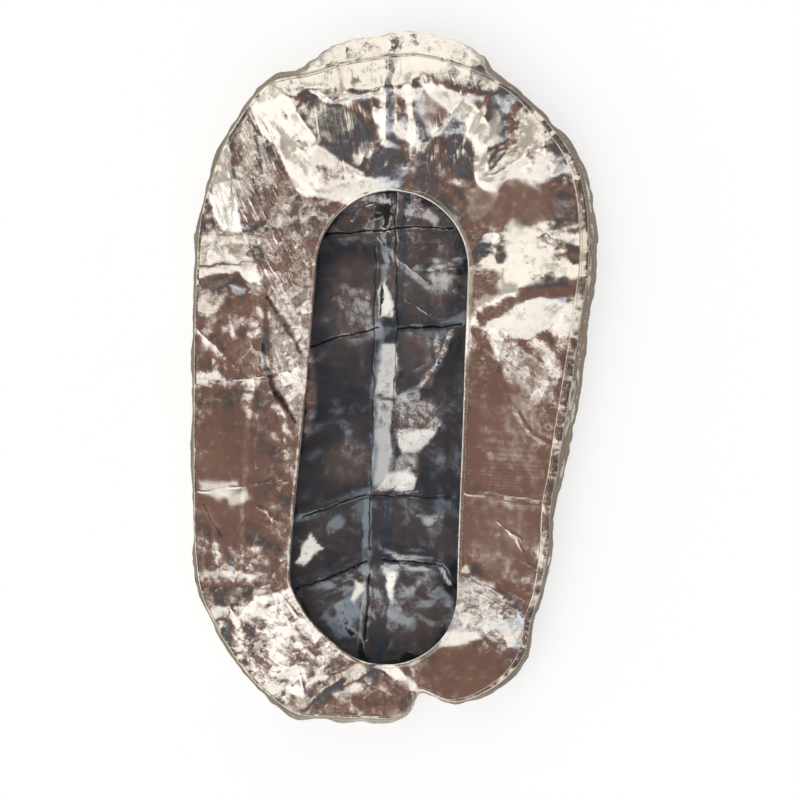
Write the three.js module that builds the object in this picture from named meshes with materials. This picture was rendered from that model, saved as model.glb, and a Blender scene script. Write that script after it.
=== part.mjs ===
// Emergency fire shelter: a bag of foil-faced cloth that lies on its back.
// Its floor panel is on top, with the long rounded opening facing up, and both ends are gathered in.
// Millimetres. +Z is up, +Y points to the head end, +X is on the right of a viewer above.
import * as THREE from 'three';

// Driving dimensions
const sheetThickness = 2; // foil-faced cloth
const hemThickness = 4; // the folded hem of the opening
const hemWidth = 16;
const tapeThickness = 1.2; // the tape over the perimeter seam
const tapeHalfWidth = 20; // on each side of the floor panel's edge
const seamGap = 0.3; // between layers that are sewn together
const mouthHeight = 98; // the opening's edge above the surface
const toeInset = 44; // how far the wall's foot draws in from the widest line
// The spine runs between the centres of the opening's round ends
const headCentre = new THREE.Vector2(-4, 270);
const footCentre = new THREE.Vector2(-50, -502);
// Flat-topped packing fold along the spine: its height, and its half-widths at the top and the foot
const centreFold = { rise: 12, top: 22, foot: 34 };

// Stations round the rim, clockwise from the left of the head: a fan, a side, a fan and a side
const stationsInLeg = { head: 34, right: 22, foot: 40, left: 22 };
const legCount = 4;

// Rim of the shell. at: leg number and share of that leg. reach: the widest line's distance from the spine.
// inset: how far inside that line the seam lies. top: height of the seam.
const rimRows = [
  { at: 0.0, reach: 493, inset: 10, top: 112 },
  { at: 0.1, reach: 504, inset: 12, top: 114 },
  { at: 0.2, reach: 529, inset: 14, top: 118 },
  { at: 0.29, reach: 560, inset: 18, top: 124 },
  { at: 0.35, reach: 551, inset: 36, top: 128 },
  { at: 0.41, reach: 568, inset: 56, top: 130 },
  { at: 0.46, reach: 578, inset: 64, top: 130 },
  { at: 0.51, reach: 598, inset: 74, top: 128 },
  { at: 0.56, reach: 586, inset: 66, top: 128 },
  { at: 0.61, reach: 566, inset: 46, top: 126 },
  { at: 0.67, reach: 542, inset: 18, top: 122 },
  { at: 0.75, reach: 538, inset: 18, top: 118 },
  { at: 0.82, reach: 540, inset: 22, top: 116 },
  { at: 0.92, reach: 516, inset: 26, top: 118 },
  { at: 1.0, reach: 505, inset: 28, top: 122 },
  { at: 1.25, reach: 494, inset: 32, top: 120 },
  { at: 1.5, reach: 473, inset: 30, top: 116 },
  { at: 1.64, reach: 458, inset: 24, top: 112 },
  { at: 1.72, reach: 443, inset: 18, top: 112 },
  { at: 1.88, reach: 440, inset: 16, top: 110 },
  { at: 2.0, reach: 430, inset: 16, top: 106 },
  { at: 2.065, reach: 414, inset: 12, top: 98 },
  { at: 2.14, reach: 433, inset: 18, top: 104 },
  { at: 2.22, reach: 416, inset: 18, top: 108 },
  { at: 2.3, reach: 378, inset: 16, top: 106 },
  { at: 2.357, reach: 316, inset: 12, top: 96 },
  { at: 2.415, reach: 362, inset: 18, top: 106 },
  { at: 2.5, reach: 366, inset: 20, top: 108 },
  { at: 2.58, reach: 378, inset: 20, top: 106 },
  { at: 2.645, reach: 402, inset: 18, top: 102 },
  { at: 2.74, reach: 402, inset: 14, top: 104 },
  { at: 2.85, reach: 410, inset: 12, top: 108 },
  { at: 3.0, reach: 447, inset: 10, top: 110 },
  { at: 3.25, reach: 464, inset: 8, top: 112 },
  { at: 3.5, reach: 476, inset: 8, top: 112 },
  { at: 3.75, reach: 487, inset: 9, top: 112 },
];

// Edge of the opening, as a distance from the spine
const mouthRows = [
  { at: 0.0, reach: 188 },
  { at: 1.0, reach: 188 },
  { at: 1.5, reach: 198 },
  { at: 2.0, reach: 208 },
  { at: 2.18, reach: 224 },
  { at: 2.34, reach: 224 },
  { at: 2.5, reach: 210 },
  { at: 2.7, reach: 187 },
  { at: 2.85, reach: 192 },
  { at: 3.0, reach: 209 },
  { at: 3.5, reach: 198 },
];

// Main folds of the floor panel, ridges and troughs between two points seen from above
const floorFolds = [
  { part: 'head swag, upper lip', from: [-278, 712], to: [-147, 675], rise: 21, spread: 32 },
  { part: 'head swag, upper lip', from: [-147, 675], to: [-27, 727], rise: 21, spread: 32 },
  { part: 'head swag, hollow', from: [-225, 640], to: [-90, 620], rise: -24, spread: 58 },
  { part: 'head swag, outer ridge', from: [-272, 700], to: [-200, 560], rise: 29, spread: 42 },
  { part: 'head swag, outer ridge', from: [-200, 560], to: [-45, 470], rise: 26, spread: 42 },
  { part: 'head pleat', from: [-6, 755], to: [-14, 580], rise: 21, spread: 26 },
  { part: 'head pleat', from: [46, 750], to: [40, 590], rise: 18, spread: 24 },
  { part: 'right shoulder ridge', from: [95, 765], to: [240, 645], rise: 26, spread: 40 },
  { part: 'right shoulder ridge', from: [240, 645], to: [232, 500], rise: 23, spread: 36 },
  { part: 'slanting head ridge', from: [152, 695], to: [20, 545], rise: 16, spread: 28 },
  { part: 'left shoulder ridge', from: [-395, 560], to: [-330, 420], rise: 18, spread: 34 },
  { part: 'right upper ridge', from: [232, 492], to: [430, 462], rise: 23, spread: 36 },
  { part: 'right upper hollow', from: [215, 420], to: [400, 395], rise: -12, spread: 50 },
  { part: 'right bulge', from: [225, 325], to: [450, 275], rise: 31, spread: 66 },
  { part: 'right trough', from: [205, 165], to: [470, 200], rise: -16, spread: 44 },
  { part: 'right slant ridge', from: [225, 105], to: [400, -140], rise: 26, spread: 54 },
  { part: 'right packing crease', from: [180, -290], to: [385, -316], rise: 12, spread: 28 },
  { part: 'left upper facet', from: [-480, 262], to: [-335, 262], rise: 23, spread: 36 },
  { part: 'left hollow', from: [-470, 170], to: [-360, 195], rise: -14, spread: 44 },
  { part: 'left long crease', from: [-328, 210], to: [-345, -20], rise: 16, spread: 30 },
  { part: 'left long crease', from: [-345, -20], to: [-370, -470], rise: 13, spread: 30 },
  { part: 'left slant trough', from: [-312, 185], to: [-240, -85], rise: -12, spread: 28 },
  { part: 'left cross crease', from: [-475, -20], to: [-350, -5], rise: 12, spread: 28 },
  { part: 'left cross crease', from: [-470, -285], to: [-262, -262], rise: 16, spread: 30 },
  { part: 'foot left ridge', from: [-440, -560], to: [-190, -600], rise: 18, spread: 38 },
  { part: 'foot left hollow', from: [-380, -680], to: [-215, -665], rise: -12, spread: 40 },
  { part: 'foot left lobe', from: [-235, -825], to: [-75, -745], rise: 21, spread: 34 },
  { part: 'foot pleat', from: [-25, -735], to: [45, -795], rise: -14, spread: 26 },
  { part: 'foot right lobe', from: [110, -735], to: [300, -725], rise: 18, spread: 36 },
  { part: 'foot right facet', from: [190, -525], to: [330, -640], rise: 13, spread: 34 },
];

// Packing creases across the back, at stations of the sides. Each arm slants by its own slope.
const backCreases = [
  { part: 'head crease', station: -3, leftSlope: 0.04, rightSlope: 0.0, rise: 9, spread: 36 },
  { part: 'upper crease', station: 4, leftSlope: 0.16, rightSlope: -0.06, rise: 10, spread: 36 },
  { part: 'middle crease', station: 10, leftSlope: 0.12, rightSlope: 0.0, rise: 8, spread: 36 },
  { part: 'lower crease', station: 16, leftSlope: 0.18, rightSlope: 0.04, rise: 10, spread: 36 },
  { part: 'foot crease', station: 22, leftSlope: 0.22, rightSlope: 0.14, rise: 11, spread: 36 },
];

// Section of the slack side wall
const widestHeight = 0.5; // the widest line, as a share of the seam's height
const upperBulge = { out: 0.75, drop: 0.4 }; // shares of the way from the shoulder to the widest line
const lowerBulge = { drawIn: 0.22, height: 0.2 }; // shares of the toe inset and of the seam's height
const narrowShoulder = { inset: 8, pitch: 72 }; // degrees down: a narrow inset turns straight down the wall
const wideShoulder = { inset: 60, pitch: -14 }; // a wide one puffs out level
const backShares = [0.82, 0.66, 0.5, 0.34, 0.2]; // rings of the back, as shares of the wall foot's reach
const creaseMargin = 0.18; // the back's creases fade out within this share of that reach

// Long waves of the slack side wall, out and in along the rim: amplitude, waves round the rim and phase
const wallWaves = [
  { amplitude: 2.5, waves: 9, phase: 0.4 },
  { amplitude: 2, waves: 16, phase: 2.1 },
  { amplitude: 1.5, waves: 23, phase: 4.4 },
];

// Smooth closed interpolation of one column of a table whose rows go round the rim
function roundTheRim(rows, column) {
  const row = (i) => rows[((i % rows.length) + rows.length) % rows.length];
  const place = (i) => row(i).at + legCount * Math.floor(i / rows.length);
  const slope = (i) => (row(i + 1)[column] - row(i - 1)[column]) / (place(i + 1) - place(i - 1));
  return (at) => {
    let i = rows.length - 1;
    while (i >= 0 && rows[i].at > at) i -= 1;
    const span = place(i + 1) - place(i);
    const t = (at - place(i)) / span;
    const blend = t * t * (3 - 2 * t);
    const value = row(i)[column] * (1 - blend) + row(i + 1)[column] * blend;
    const lead = slope(i) * span * t * (1 - t) * (1 - t);
    const trail = slope(i + 1) * span * t * t * (1 - t);
    return value + lead - trail;
  };
}

const reachAt = roundTheRim(rimRows, 'reach');
const insetAt = roundTheRim(rimRows, 'inset');
const topAt = roundTheRim(rimRows, 'top');
const mouthAt = roundTheRim(mouthRows, 'reach');

const spine = footCentre.clone().sub(headCentre);
const spineLength = spine.length();
const down = spine.clone().normalize();
const right = new THREE.Vector2(-down.y, down.x);

// A station's place on the spine and the level direction in which it looks out
function makeStation(leg, share) {
  const onSpine = [0, share, 1, 1 - share][leg];
  const bearing = [Math.PI * (1 - share), 0, -Math.PI * share, Math.PI][leg];
  const out = right.clone().multiplyScalar(Math.cos(bearing)).addScaledVector(down, -Math.sin(bearing));
  return { at: leg + share, root: headCentre.clone().addScaledVector(spine, onSpine), out };
}

const stations = Object.values(stationsInLeg).flatMap((count, leg) =>
  Array.from({ length: count }, (_, step) => makeStation(leg, step / count)),
);

const levelPoint = (station, reach) => station.root.clone().addScaledVector(station.out, reach);

function distanceToSegment(point, from, to) {
  const a = new THREE.Vector2(...from);
  const along = new THREE.Vector2(...to).sub(a);
  const offset = point.clone().sub(a);
  const share = THREE.MathUtils.clamp(offset.dot(along) / along.lengthSq(), 0, 1);
  return offset.addScaledVector(along, -share).length();
}

function foldRise(point) {
  return floorFolds.reduce((sum, fold) => {
    const distance = distanceToSegment(point, fold.from, fold.to) / fold.spread;
    return sum + fold.rise * Math.exp(-distance * distance);
  }, 0);
}

// Height of the back's packing folds over the surface, 0 where it lies flat
function backRise(point) {
  const offset = point.clone().sub(headCentre);
  const side = offset.dot(right);
  const along = offset.dot(down);
  const flank = (centreFold.foot - Math.abs(side)) / (centreFold.foot - centreFold.top);
  const heights = backCreases.map((crease) => {
    const slope = side < 0 ? crease.leftSlope : crease.rightSlope;
    const root = (crease.station / stationsInLeg.right) * spineLength;
    const distance = Math.abs(along - root - slope * Math.abs(side));
    return crease.rise * Math.max(0, 1 - distance / crease.spread);
  });
  return Math.max(centreFold.rise * THREE.MathUtils.clamp(flank, 0, 1), ...heights);
}

function wallWave(at) {
  const turn = (at / legCount) * 2 * Math.PI;
  const swing = (wave) => wave.amplitude * Math.sin(turn * wave.waves + wave.phase);
  return wallWaves.reduce((sum, wave) => sum + swing(wave), 0);
}

// Rings of the floor panel's upper face, from the opening out to the sewn edge
const floorSpans = 7; // bands between the hem and the tape

function floorProfile(station) {
  const mouth = mouthAt(station.at);
  const seam = reachAt(station.at) - insetAt(station.at);
  const reaches = [mouth];
  for (let ring = 0; ring <= floorSpans; ring += 1) {
    reaches.push(THREE.MathUtils.lerp(mouth + hemWidth, seam - tapeHalfWidth, ring / floorSpans));
  }
  reaches.push(seam);
  return reaches.map((reach) => {
    const point = levelPoint(station, reach);
    const share = THREE.MathUtils.smoothstep(reach, mouth, seam);
    const level = THREE.MathUtils.lerp(mouthHeight, topAt(station.at), share);
    return new THREE.Vector3(point.x, point.y, level + foldRise(point));
  });
}

// Profiles at the stations turned into rings round the rim
const ringsOf = (profiles) => profiles[0].map((_, ring) => profiles.map((profile) => profile[ring]));
const floorRings = ringsOf(stations.map(floorProfile));

// Vertex normals of a closed band of rings, pointing to its outer face
function bandNormals(rings) {
  const sums = new Map();
  const key = (p) => `${p.x.toFixed(3)},${p.y.toFixed(3)},${p.z.toFixed(3)}`;
  const add = (...corners) => {
    const face = new THREE.Vector3().subVectors(corners[1], corners[0]);
    face.cross(new THREE.Vector3().subVectors(corners[2], corners[0]));
    corners.forEach((p) => sums.set(key(p), (sums.get(key(p)) ?? new THREE.Vector3()).add(face)));
  };
  forEachQuad(rings, (a, b, c, d) => {
    add(a, b, c);
    add(a, c, d);
  });
  return rings.map((ring) => ring.map((p) => sums.get(key(p)).clone().normalize()));
}

function forEachQuad(rings, visit) {
  const count = rings[0].length;
  for (let ring = 0; ring + 1 < rings.length; ring += 1) {
    for (let i = 0; i < count; i += 1) {
      const next = (i + 1) % count;
      visit(rings[ring][i], rings[ring][next], rings[ring + 1][next], rings[ring + 1][i]);
    }
  }
}

const setBack = (rings, normals, thicknessOf) =>
  rings.map((ring, r) => ring.map((p, i) => p.clone().addScaledVector(normals[r][i], -thicknessOf(r))));

// A sheet as one closed solid: its outer face, its inner face and its edges
function sheetGeometry(rings, backs, hasLastEdge = true) {
  const positions = [];
  const same = (p, q) => p.distanceToSquared(q) < 1e-6;
  const addTriangle = (a, b, c) => {
    if (same(a, b) || same(b, c) || same(c, a)) return;
    [a, b, c].forEach((p) => positions.push(p.x, p.y, p.z));
  };
  const addQuad = (a, b, c, d) => {
    addTriangle(a, b, c);
    addTriangle(a, c, d);
  };
  const last = rings.length - 1;
  forEachQuad(rings, addQuad);
  forEachQuad(backs, (a, b, c, d) => addQuad(a, d, c, b));
  forEachQuad([backs[0], rings[0]], addQuad);
  if (hasLastEdge) forEachQuad([rings[last], backs[last]], addQuad);
  const geometry = new THREE.BufferGeometry();
  geometry.setAttribute('position', new THREE.Float32BufferAttribute(positions, 3));
  geometry.computeVertexNormals();
  return geometry;
}

// Floor panel
const floorThickness = (ring) => (ring < 2 ? hemThickness : sheetThickness);
const floorNormals = bandNormals(floorRings);
const floorGeometry = sheetGeometry(floorRings, setBack(floorRings, floorNormals, floorThickness));
const lapRing = floorRings.length - 2; // the tape's inner edge
const edgeRing = floorRings.length - 1;

// Shell: a lap under the floor panel, a shoulder, the bulging wall, its foot, and the back on the surface
function shellProfile(station, index) {
  const reach = reachAt(station.at);
  const inset = insetAt(station.at);
  const underFloor = (ring) =>
    floorRings[ring][index].clone().addScaledVector(floorNormals[ring][index], -(sheetThickness + seamGap));
  const place = (reachHere, z) => {
    const point = levelPoint(station, reachHere);
    return new THREE.Vector3(point.x, point.y, z);
  };
  const edge = underFloor(edgeRing);

  const narrowness = THREE.MathUtils.clamp(inset, narrowShoulder.inset, wideShoulder.inset);
  const pitchDegrees = THREE.MathUtils.mapLinear(
    narrowness,
    narrowShoulder.inset,
    wideShoulder.inset,
    narrowShoulder.pitch,
    wideShoulder.pitch,
  );
  const pitch = THREE.MathUtils.degToRad(pitchDegrees);
  const shoulderReach = reach - inset + tapeHalfWidth * Math.cos(pitch);
  const shoulderHeight = edge.z - tapeHalfWidth * Math.sin(pitch);

  const widestReach = reach + wallWave(station.at);
  const upper = place(
    THREE.MathUtils.lerp(shoulderReach, widestReach, upperBulge.out),
    THREE.MathUtils.lerp(shoulderHeight, edge.z * widestHeight, upperBulge.drop),
  );
  const widest = place(widestReach, edge.z * widestHeight);
  const lower = place(widestReach - toeInset * lowerBulge.drawIn, edge.z * lowerBulge.height);

  const foot = reach - toeInset;
  const backReaches = [foot, ...backShares.map((share) => share * foot), centreFold.foot, centreFold.top, 0];
  const back = backReaches.map((reachHere) => {
    const fade = THREE.MathUtils.smoothstep(foot - reachHere, 0, foot * creaseMargin);
    return place(reachHere, backRise(levelPoint(station, reachHere)) * fade);
  });
  return [underFloor(lapRing), edge, place(shoulderReach, shoulderHeight), upper, widest, lower, ...back];
}

const shellRings = ringsOf(stations.map(shellProfile));
const shoulderRing = 2;
const shellNormals = bandNormals(shellRings);
const shellInside = setBack(shellRings, shellNormals, () => sheetThickness);
const shellGeometry = sheetGeometry(shellRings, shellInside, false); // the spine closes the last ring

// Seam tape: over the floor panel's margin, round its edge and on to the shell's shoulder
const tapeEdgeClearance = 1;

function tapeProfile(index, lift) {
  const lifted = (rings, normals, ring) =>
    rings[ring][index].clone().addScaledVector(normals[ring][index], lift);
  const inner = lifted(floorRings, floorNormals, lapRing);
  const edge = lifted(floorRings, floorNormals, edgeRing);
  const across = edge.clone().sub(inner).normalize();
  const bend = edge.clone().addScaledVector(across, lift + tapeEdgeClearance);
  const outer = lifted(shellRings, shellNormals, shoulderRing);
  return [inner, edge, bend, outer];
}

const tapeRings = (lift) => ringsOf(stations.map((_, index) => tapeProfile(index, lift)));
const tapeGeometry = sheetGeometry(tapeRings(seamGap + tapeThickness), tapeRings(seamGap));

const foil = new THREE.MeshStandardMaterial({ color: 0xcfc8bf, roughness: 0.25, metalness: 1 });
const floorFoil = new THREE.MeshStandardMaterial({ color: 0xc2b3a6, roughness: 0.22, metalness: 1 });
const tapeFoil = new THREE.MeshStandardMaterial({ color: 0xd8d0c2, roughness: 0.35, metalness: 1 });

function namedMesh(name, geometry, material) {
  const mesh = new THREE.Mesh(geometry, material);
  mesh.name = name;
  return mesh;
}

const shelter = new THREE.Group();
shelter.name = 'fire_shelter';
shelter.add(namedMesh('shell', shellGeometry, foil));
shelter.add(namedMesh('floor_panel', floorGeometry, floorFoil));
shelter.add(namedMesh('seam_tape', tapeGeometry, tapeFoil));

export default shelter;
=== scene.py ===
# Emergency fire shelter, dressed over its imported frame.
# Shapes are worked out in millimetres and placed in metres.
import math

import bpy
import numpy as np
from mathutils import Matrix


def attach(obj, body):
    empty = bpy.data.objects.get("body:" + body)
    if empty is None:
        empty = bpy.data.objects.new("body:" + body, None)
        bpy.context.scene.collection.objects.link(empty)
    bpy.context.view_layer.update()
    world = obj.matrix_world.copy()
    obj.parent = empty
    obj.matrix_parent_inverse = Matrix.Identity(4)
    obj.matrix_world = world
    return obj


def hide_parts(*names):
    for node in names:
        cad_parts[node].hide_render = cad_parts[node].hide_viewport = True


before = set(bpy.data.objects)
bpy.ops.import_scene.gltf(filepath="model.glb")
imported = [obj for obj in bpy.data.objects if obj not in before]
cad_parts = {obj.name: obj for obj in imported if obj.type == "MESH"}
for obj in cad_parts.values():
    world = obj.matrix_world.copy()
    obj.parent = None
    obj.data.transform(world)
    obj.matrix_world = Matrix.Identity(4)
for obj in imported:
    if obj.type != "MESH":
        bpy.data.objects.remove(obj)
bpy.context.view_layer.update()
mm = 0.001
print("frame loaded:", ", ".join(sorted(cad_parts)))


# A table's rows under one heading: None, or a row's early end, leaves a value out
def rowsOf(heading, *rows):
    names = heading.split()
    return [{name: value for name, value in zip(names, row) if value is not None} for row in rows]


# Layers of crumple, from coarse to fine
def octavesOf(*rows):
    return rowsOf("cell rise turn seed", *rows)


# The bag's own plan: a spine between the centres of the opening's round ends, and a rim that goes
# clockwise round it in four legs, the head fan, the right side, the foot fan and the left side
legs = 4
headCentre = np.array((-4.0, 270.0))
footCentre = np.array((-50.0, -502.0))
spineVector = footCentre - headCentre
spineLength = float(np.hypot(*spineVector))
spineDown = spineVector / spineLength
spineRight = np.array((-spineDown[1], spineDown[0]))

rimRows = rowsOf(
    "at reach inset top",
    (0.0, 493, 10, 112),
    (0.1, 504, 12, 114),
    (0.2, 529, 14, 118),
    (0.29, 560, 18, 124),
    (0.35, 551, 36, 128),
    (0.41, 568, 56, 130),
    (0.46, 578, 64, 130),
    (0.51, 598, 74, 128),
    (0.56, 586, 66, 128),
    (0.61, 566, 46, 126),
    (0.67, 542, 18, 122),
    (0.75, 538, 18, 118),
    (0.82, 540, 22, 116),
    (0.92, 516, 26, 118),
    (1.0, 505, 28, 122),
    (1.25, 494, 32, 120),
    (1.5, 473, 30, 116),
    (1.64, 458, 24, 112),
    (1.72, 443, 18, 112),
    (1.88, 440, 16, 110),
    (2.0, 430, 16, 106),
    (2.065, 414, 12, 98),
    (2.14, 433, 18, 104),
    (2.22, 416, 18, 108),
    (2.3, 378, 16, 106),
    (2.357, 316, 12, 96),
    (2.415, 362, 18, 106),
    (2.5, 366, 20, 108),
    (2.58, 378, 20, 106),
    (2.645, 402, 18, 102),
    (2.74, 402, 14, 104),
    (2.85, 410, 12, 108),
    (3.0, 447, 10, 110),
    (3.25, 464, 8, 112),
    (3.5, 476, 8, 112),
    (3.75, 487, 9, 112),
)

mouthRows = rowsOf(
    "at reach hem",
    (0.0, 188, 7),
    (0.4, 188, 7),
    (0.7, 188, 10),
    (1.0, 188, 11),
    (1.5, 198, 9),
    (2.0, 208, 9),
    (2.18, 224, 10),
    (2.34, 224, 10),
    (2.5, 210, 8),
    (2.7, 187, 7),
    (2.85, 192, 7),
    (3.0, 209, 7),
    (3.5, 198, 7),
)

# How strongly the cloth is drawn up along the seam, how the tape puckers and how wide it lies there
slackRows = rowsOf(
    "at gather pucker tape",
    (0.0, 0.5, 0.15, 6),
    (0.2, 0.8, 0.7, 9),
    (0.3, 1.0, 0.3, 7),
    (0.38, 1.1, 0.05, 5),
    (0.6, 1.1, 0.05, 5),
    (0.68, 0.9, 0.4, 9),
    (0.78, 0.7, 0.7, 16),
    (0.92, 0.5, 1.0, 20),
    (1.3, 0.3, 1.0, 20),
    (1.8, 0.3, 0.9, 20),
    (2.1, 0.6, 0.3, 14),
    (2.35, 0.9, 0.1, 6),
    (2.8, 0.8, 0.1, 5),
    (3.1, 0.35, 0.1, 5),
    (3.7, 0.35, 0.1, 5),
)


def aroundRim(rows, column, at):
    at = np.mod(at, legs)
    places = np.array([row["at"] for row in rows])
    values = np.array([row[column] for row in rows], dtype=float)
    places = np.concatenate((places[-2:] - legs, places, places[:3] + legs))
    values = np.concatenate((values[-2:], values, values[:3]))
    slopes = np.zeros_like(values)
    slopes[1:-1] = (values[2:] - values[:-2]) / (places[2:] - places[:-2])
    i = np.clip(np.searchsorted(places, at, side="right") - 1, 1, len(places) - 3)
    span = places[i + 1] - places[i]
    t = (at - places[i]) / span
    blend = t * t * (3 - 2 * t)
    level = values[i] * (1 - blend) + values[i + 1] * blend
    return level + span * t * (1 - t) * (slopes[i] * (1 - t) - slopes[i + 1] * t)


# The seam lies inside the outline, by as much as the slack cloth hangs over
def seamReach(at):
    return aroundRim(rimRows, "reach", at) - aroundRim(rimRows, "inset", at)


def planPoint(at, reach):
    at = np.mod(at, legs)
    leg = np.floor(at).astype(int)
    share = at - leg
    onSpine = np.choose(leg, (share * 0, share, share * 0 + 1, 1 - share))
    bearing = np.choose(leg, (math.pi * (1 - share), share * 0, -math.pi * share, share * 0 + math.pi))
    outX = spineRight[0] * np.cos(bearing) - spineDown[0] * np.sin(bearing)
    outY = spineRight[1] * np.cos(bearing) - spineDown[1] * np.sin(bearing)
    x = headCentre[0] + spineVector[0] * onSpine + outX * reach
    y = headCentre[1] + spineVector[1] * onSpine + outY * reach
    return x, y


def smoothStep(value, low, high):
    t = np.clip((value - low) / (high - low), 0, 1)
    return t * t * (3 - 2 * t)


# Rim length from the first station, for patterns that run along the seam
rimSteps = 2000
rimLoop = np.linspace(0, legs, rimSteps + 1)
rimX, rimY = planPoint(rimLoop, aroundRim(rimRows, "reach", rimLoop))
rimLength = np.concatenate(((0,), np.cumsum(np.hypot(np.diff(rimX), np.diff(rimY)))))


def alongRim(at):
    return np.interp(np.mod(at, legs), rimLoop, rimLength)


# Flat facets with straight edges between them, as crumpled foil has: random heights at the corners
# of a turned triangle lattice, warped so that no two facets are alike
facetCorners = 101
facetBends = dict(cell=1.3, turns=(0.7, 1.9), seeds=(101, 202))  # of the two lattices that warp it


def facets(x, y, cell, turn, seed, warp=0.4):
    if warp:
        bends = [cell * warp * facets(x, y, cell * facetBends["cell"], turn + further, seed + other, 0)
                 for further, other in zip(facetBends["turns"], facetBends["seeds"])]
        x, y = x + bends[0], y + bends[1]
    heights = np.random.default_rng(seed).uniform(-1, 1, (facetCorners, facetCorners))
    px = (x * math.cos(turn) - y * math.sin(turn)) / cell
    py = (x * math.sin(turn) + y * math.cos(turn)) / cell
    skew = (px + py) * (math.sqrt(3) - 1) / 2
    a, b = px + skew, py + skew
    i, j = np.floor(a).astype(int), np.floor(b).astype(int)
    a, b = a - i, b - j

    def corner(di, dj):
        return heights[(i + di) % facetCorners, (j + dj) % facetCorners]

    lower = corner(0, 0) * (1 - a) + corner(1, 0) * (a - b) + corner(1, 1) * b
    upper = corner(0, 0) * (1 - b) + corner(0, 1) * (b - a) + corner(1, 1) * a
    return np.where(a > b, lower, upper)


def crumple(x, y, octaves):
    return sum(row["rise"] * facets(x, y, row["cell"], row["turn"], row["seed"]) for row in octaves)


# The same round the rim, where the pattern has to meet itself at the first station
rimOverlap = 160


def rimCrumple(along, across, octaves):
    whole = rimLength[-1]
    here = crumple(along, across, octaves)
    again = crumple(along - whole, across, octaves)
    return here + (again - here) * smoothStep(along, whole - rimOverlap, whole)


# A fold is a ridge, or a trough where its rise is negative, with a face of its own width on each hand.
# A fan grows from a point at its start, and a flat crest keeps its height for some millimetres.
def foldRise(x, y, rows):
    total = np.zeros_like(x)
    for row in rows:
        (ax, ay), (bx, by) = row["start"], row["end"]
        length = math.hypot(bx - ax, by - ay)
        alongX, alongY = (bx - ax) / length, (by - ay) / length
        along = (x - ax) * alongX + (y - ay) * alongY
        side = (y - ay) * alongX - (x - ax) * alongY  # positive on the left hand
        past = np.maximum(0, np.maximum(-along, along - length))
        growth = 1 - row.get("fan", 0) * (1 - np.clip(along / length, 0, 1))
        hand = side / (np.abs(side) + past + 1e-6)
        width = ((row["left"] + row["right"]) + (row["left"] - row["right"]) * hand) / 2 * growth
        away = np.maximum(0, np.hypot(side, past) - row.get("flat", 0))
        total += row["rise"] * growth * np.clip(1 - away / np.maximum(width, 1), 0, 1)
    return total


# Drawn lines wander: the plan is bent a little before the folds are read
wanderOctaves = octavesOf(
    (130, 9, 0.4, 71),
    (48, 4, 1.3, 72),
)


def wander(x, y):
    return x + crumple(x, y, wanderOctaves), y + crumple(y, -x, wanderOctaves)


# Patches that lie calmer, or are crumpled more, than the rest
patchFade = (0.6, 1.15)  # in shares of a patch's half width


def patchShare(x, y, row):
    dx = (x - row["centre"][0]) / row["half"][0]
    dy = (y - row["centre"][1]) / row["half"][1]
    return 1 - smoothStep(np.hypot(dx, dy), *patchFade)


def patchGain(x, y, rows):
    gain = np.ones_like(x)
    for row in rows:
        gain *= 1 + (row["gain"] - 1) * patchShare(x, y, row)
    return gain


# Patches of fine streaks that all run one way, the bearing in degrees from the right
streakDraw = 0.12
streakShift = 37  # between two patches, so that their fine streaks differ


def streakRise(x, y, rows):
    total = np.zeros_like(x)
    for row in rows:
        bearing = math.radians(row["bearing"])
        dx, dy = x - row["centre"][0], y - row["centre"][1]
        along = dx * math.cos(bearing) + dy * math.sin(bearing)
        across = dy * math.cos(bearing) - dx * math.sin(bearing)
        lines = facets(across, along * streakDraw, row["cell"], 0.0, row["seed"])
        total += row["rise"] * patchShare(x, y, row) * lines
    return total


# The finest streaks are left to the shader, which reads how far each point lies across and along them
def streakPlaces(x, y, rows):
    best = np.zeros_like(x)
    place = np.zeros(x.shape + (3,))
    for row in rows:
        bearing = math.radians(row["bearing"])
        share = patchShare(x, y, row) * row.get("fine", 1)
        across = y * math.cos(bearing) - x * math.sin(bearing)
        along = x * math.cos(bearing) + y * math.sin(bearing)
        here = np.stack((across, along * streakDraw, across * 0 + row["seed"] * streakShift), axis=-1) * mm
        place = np.where((share > best)[..., None], here, place)
        best = np.maximum(best, share)
    return place, best


# Facets with corners of their own, which the shader reads: each is turned a little from the cloth under
# it, or is held flat, so that it faces its own way whatever is under it
facetSoft = 6
raggedOctaves = octavesOf((19, 3.5, 0.9, 73))


def facetShare(x, y, row):
    corners = np.array(row["corners"], dtype=float)
    middleX, middleY = corners.mean(axis=0)
    within = np.full_like(x, math.inf)
    for (ax, ay), (bx, by) in zip(corners, np.roll(corners, -1, axis=0)):
        edgeX, edgeY = np.array((bx - ax, by - ay)) / math.hypot(bx - ax, by - ay)
        inward = math.copysign(1, (middleX - ax) * edgeY - (middleY - ay) * edgeX)
        within = np.minimum(within, inward * ((x - ax) * edgeY - (y - ay) * edgeX))
    soft = row.get("soft", facetSoft)
    return smoothStep(within, -soft, soft)


def ragged(x, y):
    x, y = wander(x, y)
    return x + crumple(x, y, raggedOctaves), y + crumple(y, -x, raggedOctaves)


def facetLean(x, y, rows):
    x, y = ragged(x, y)
    lean = np.zeros(x.shape + (3,))
    for row in rows:
        share = facetShare(x, y, row)
        held = share * row.get("hold", 0)
        turned = held if "hold" in row else share
        turn = np.stack((turned * row["lean"][0], turned * row["lean"][1], held), axis=-1)
        lean = lean * (1 - held)[..., None] + turn
    return lean


# One grid is wrapped round the rim and its ends are welded, then it gets its thickness
weldDistance = 0.02


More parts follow.
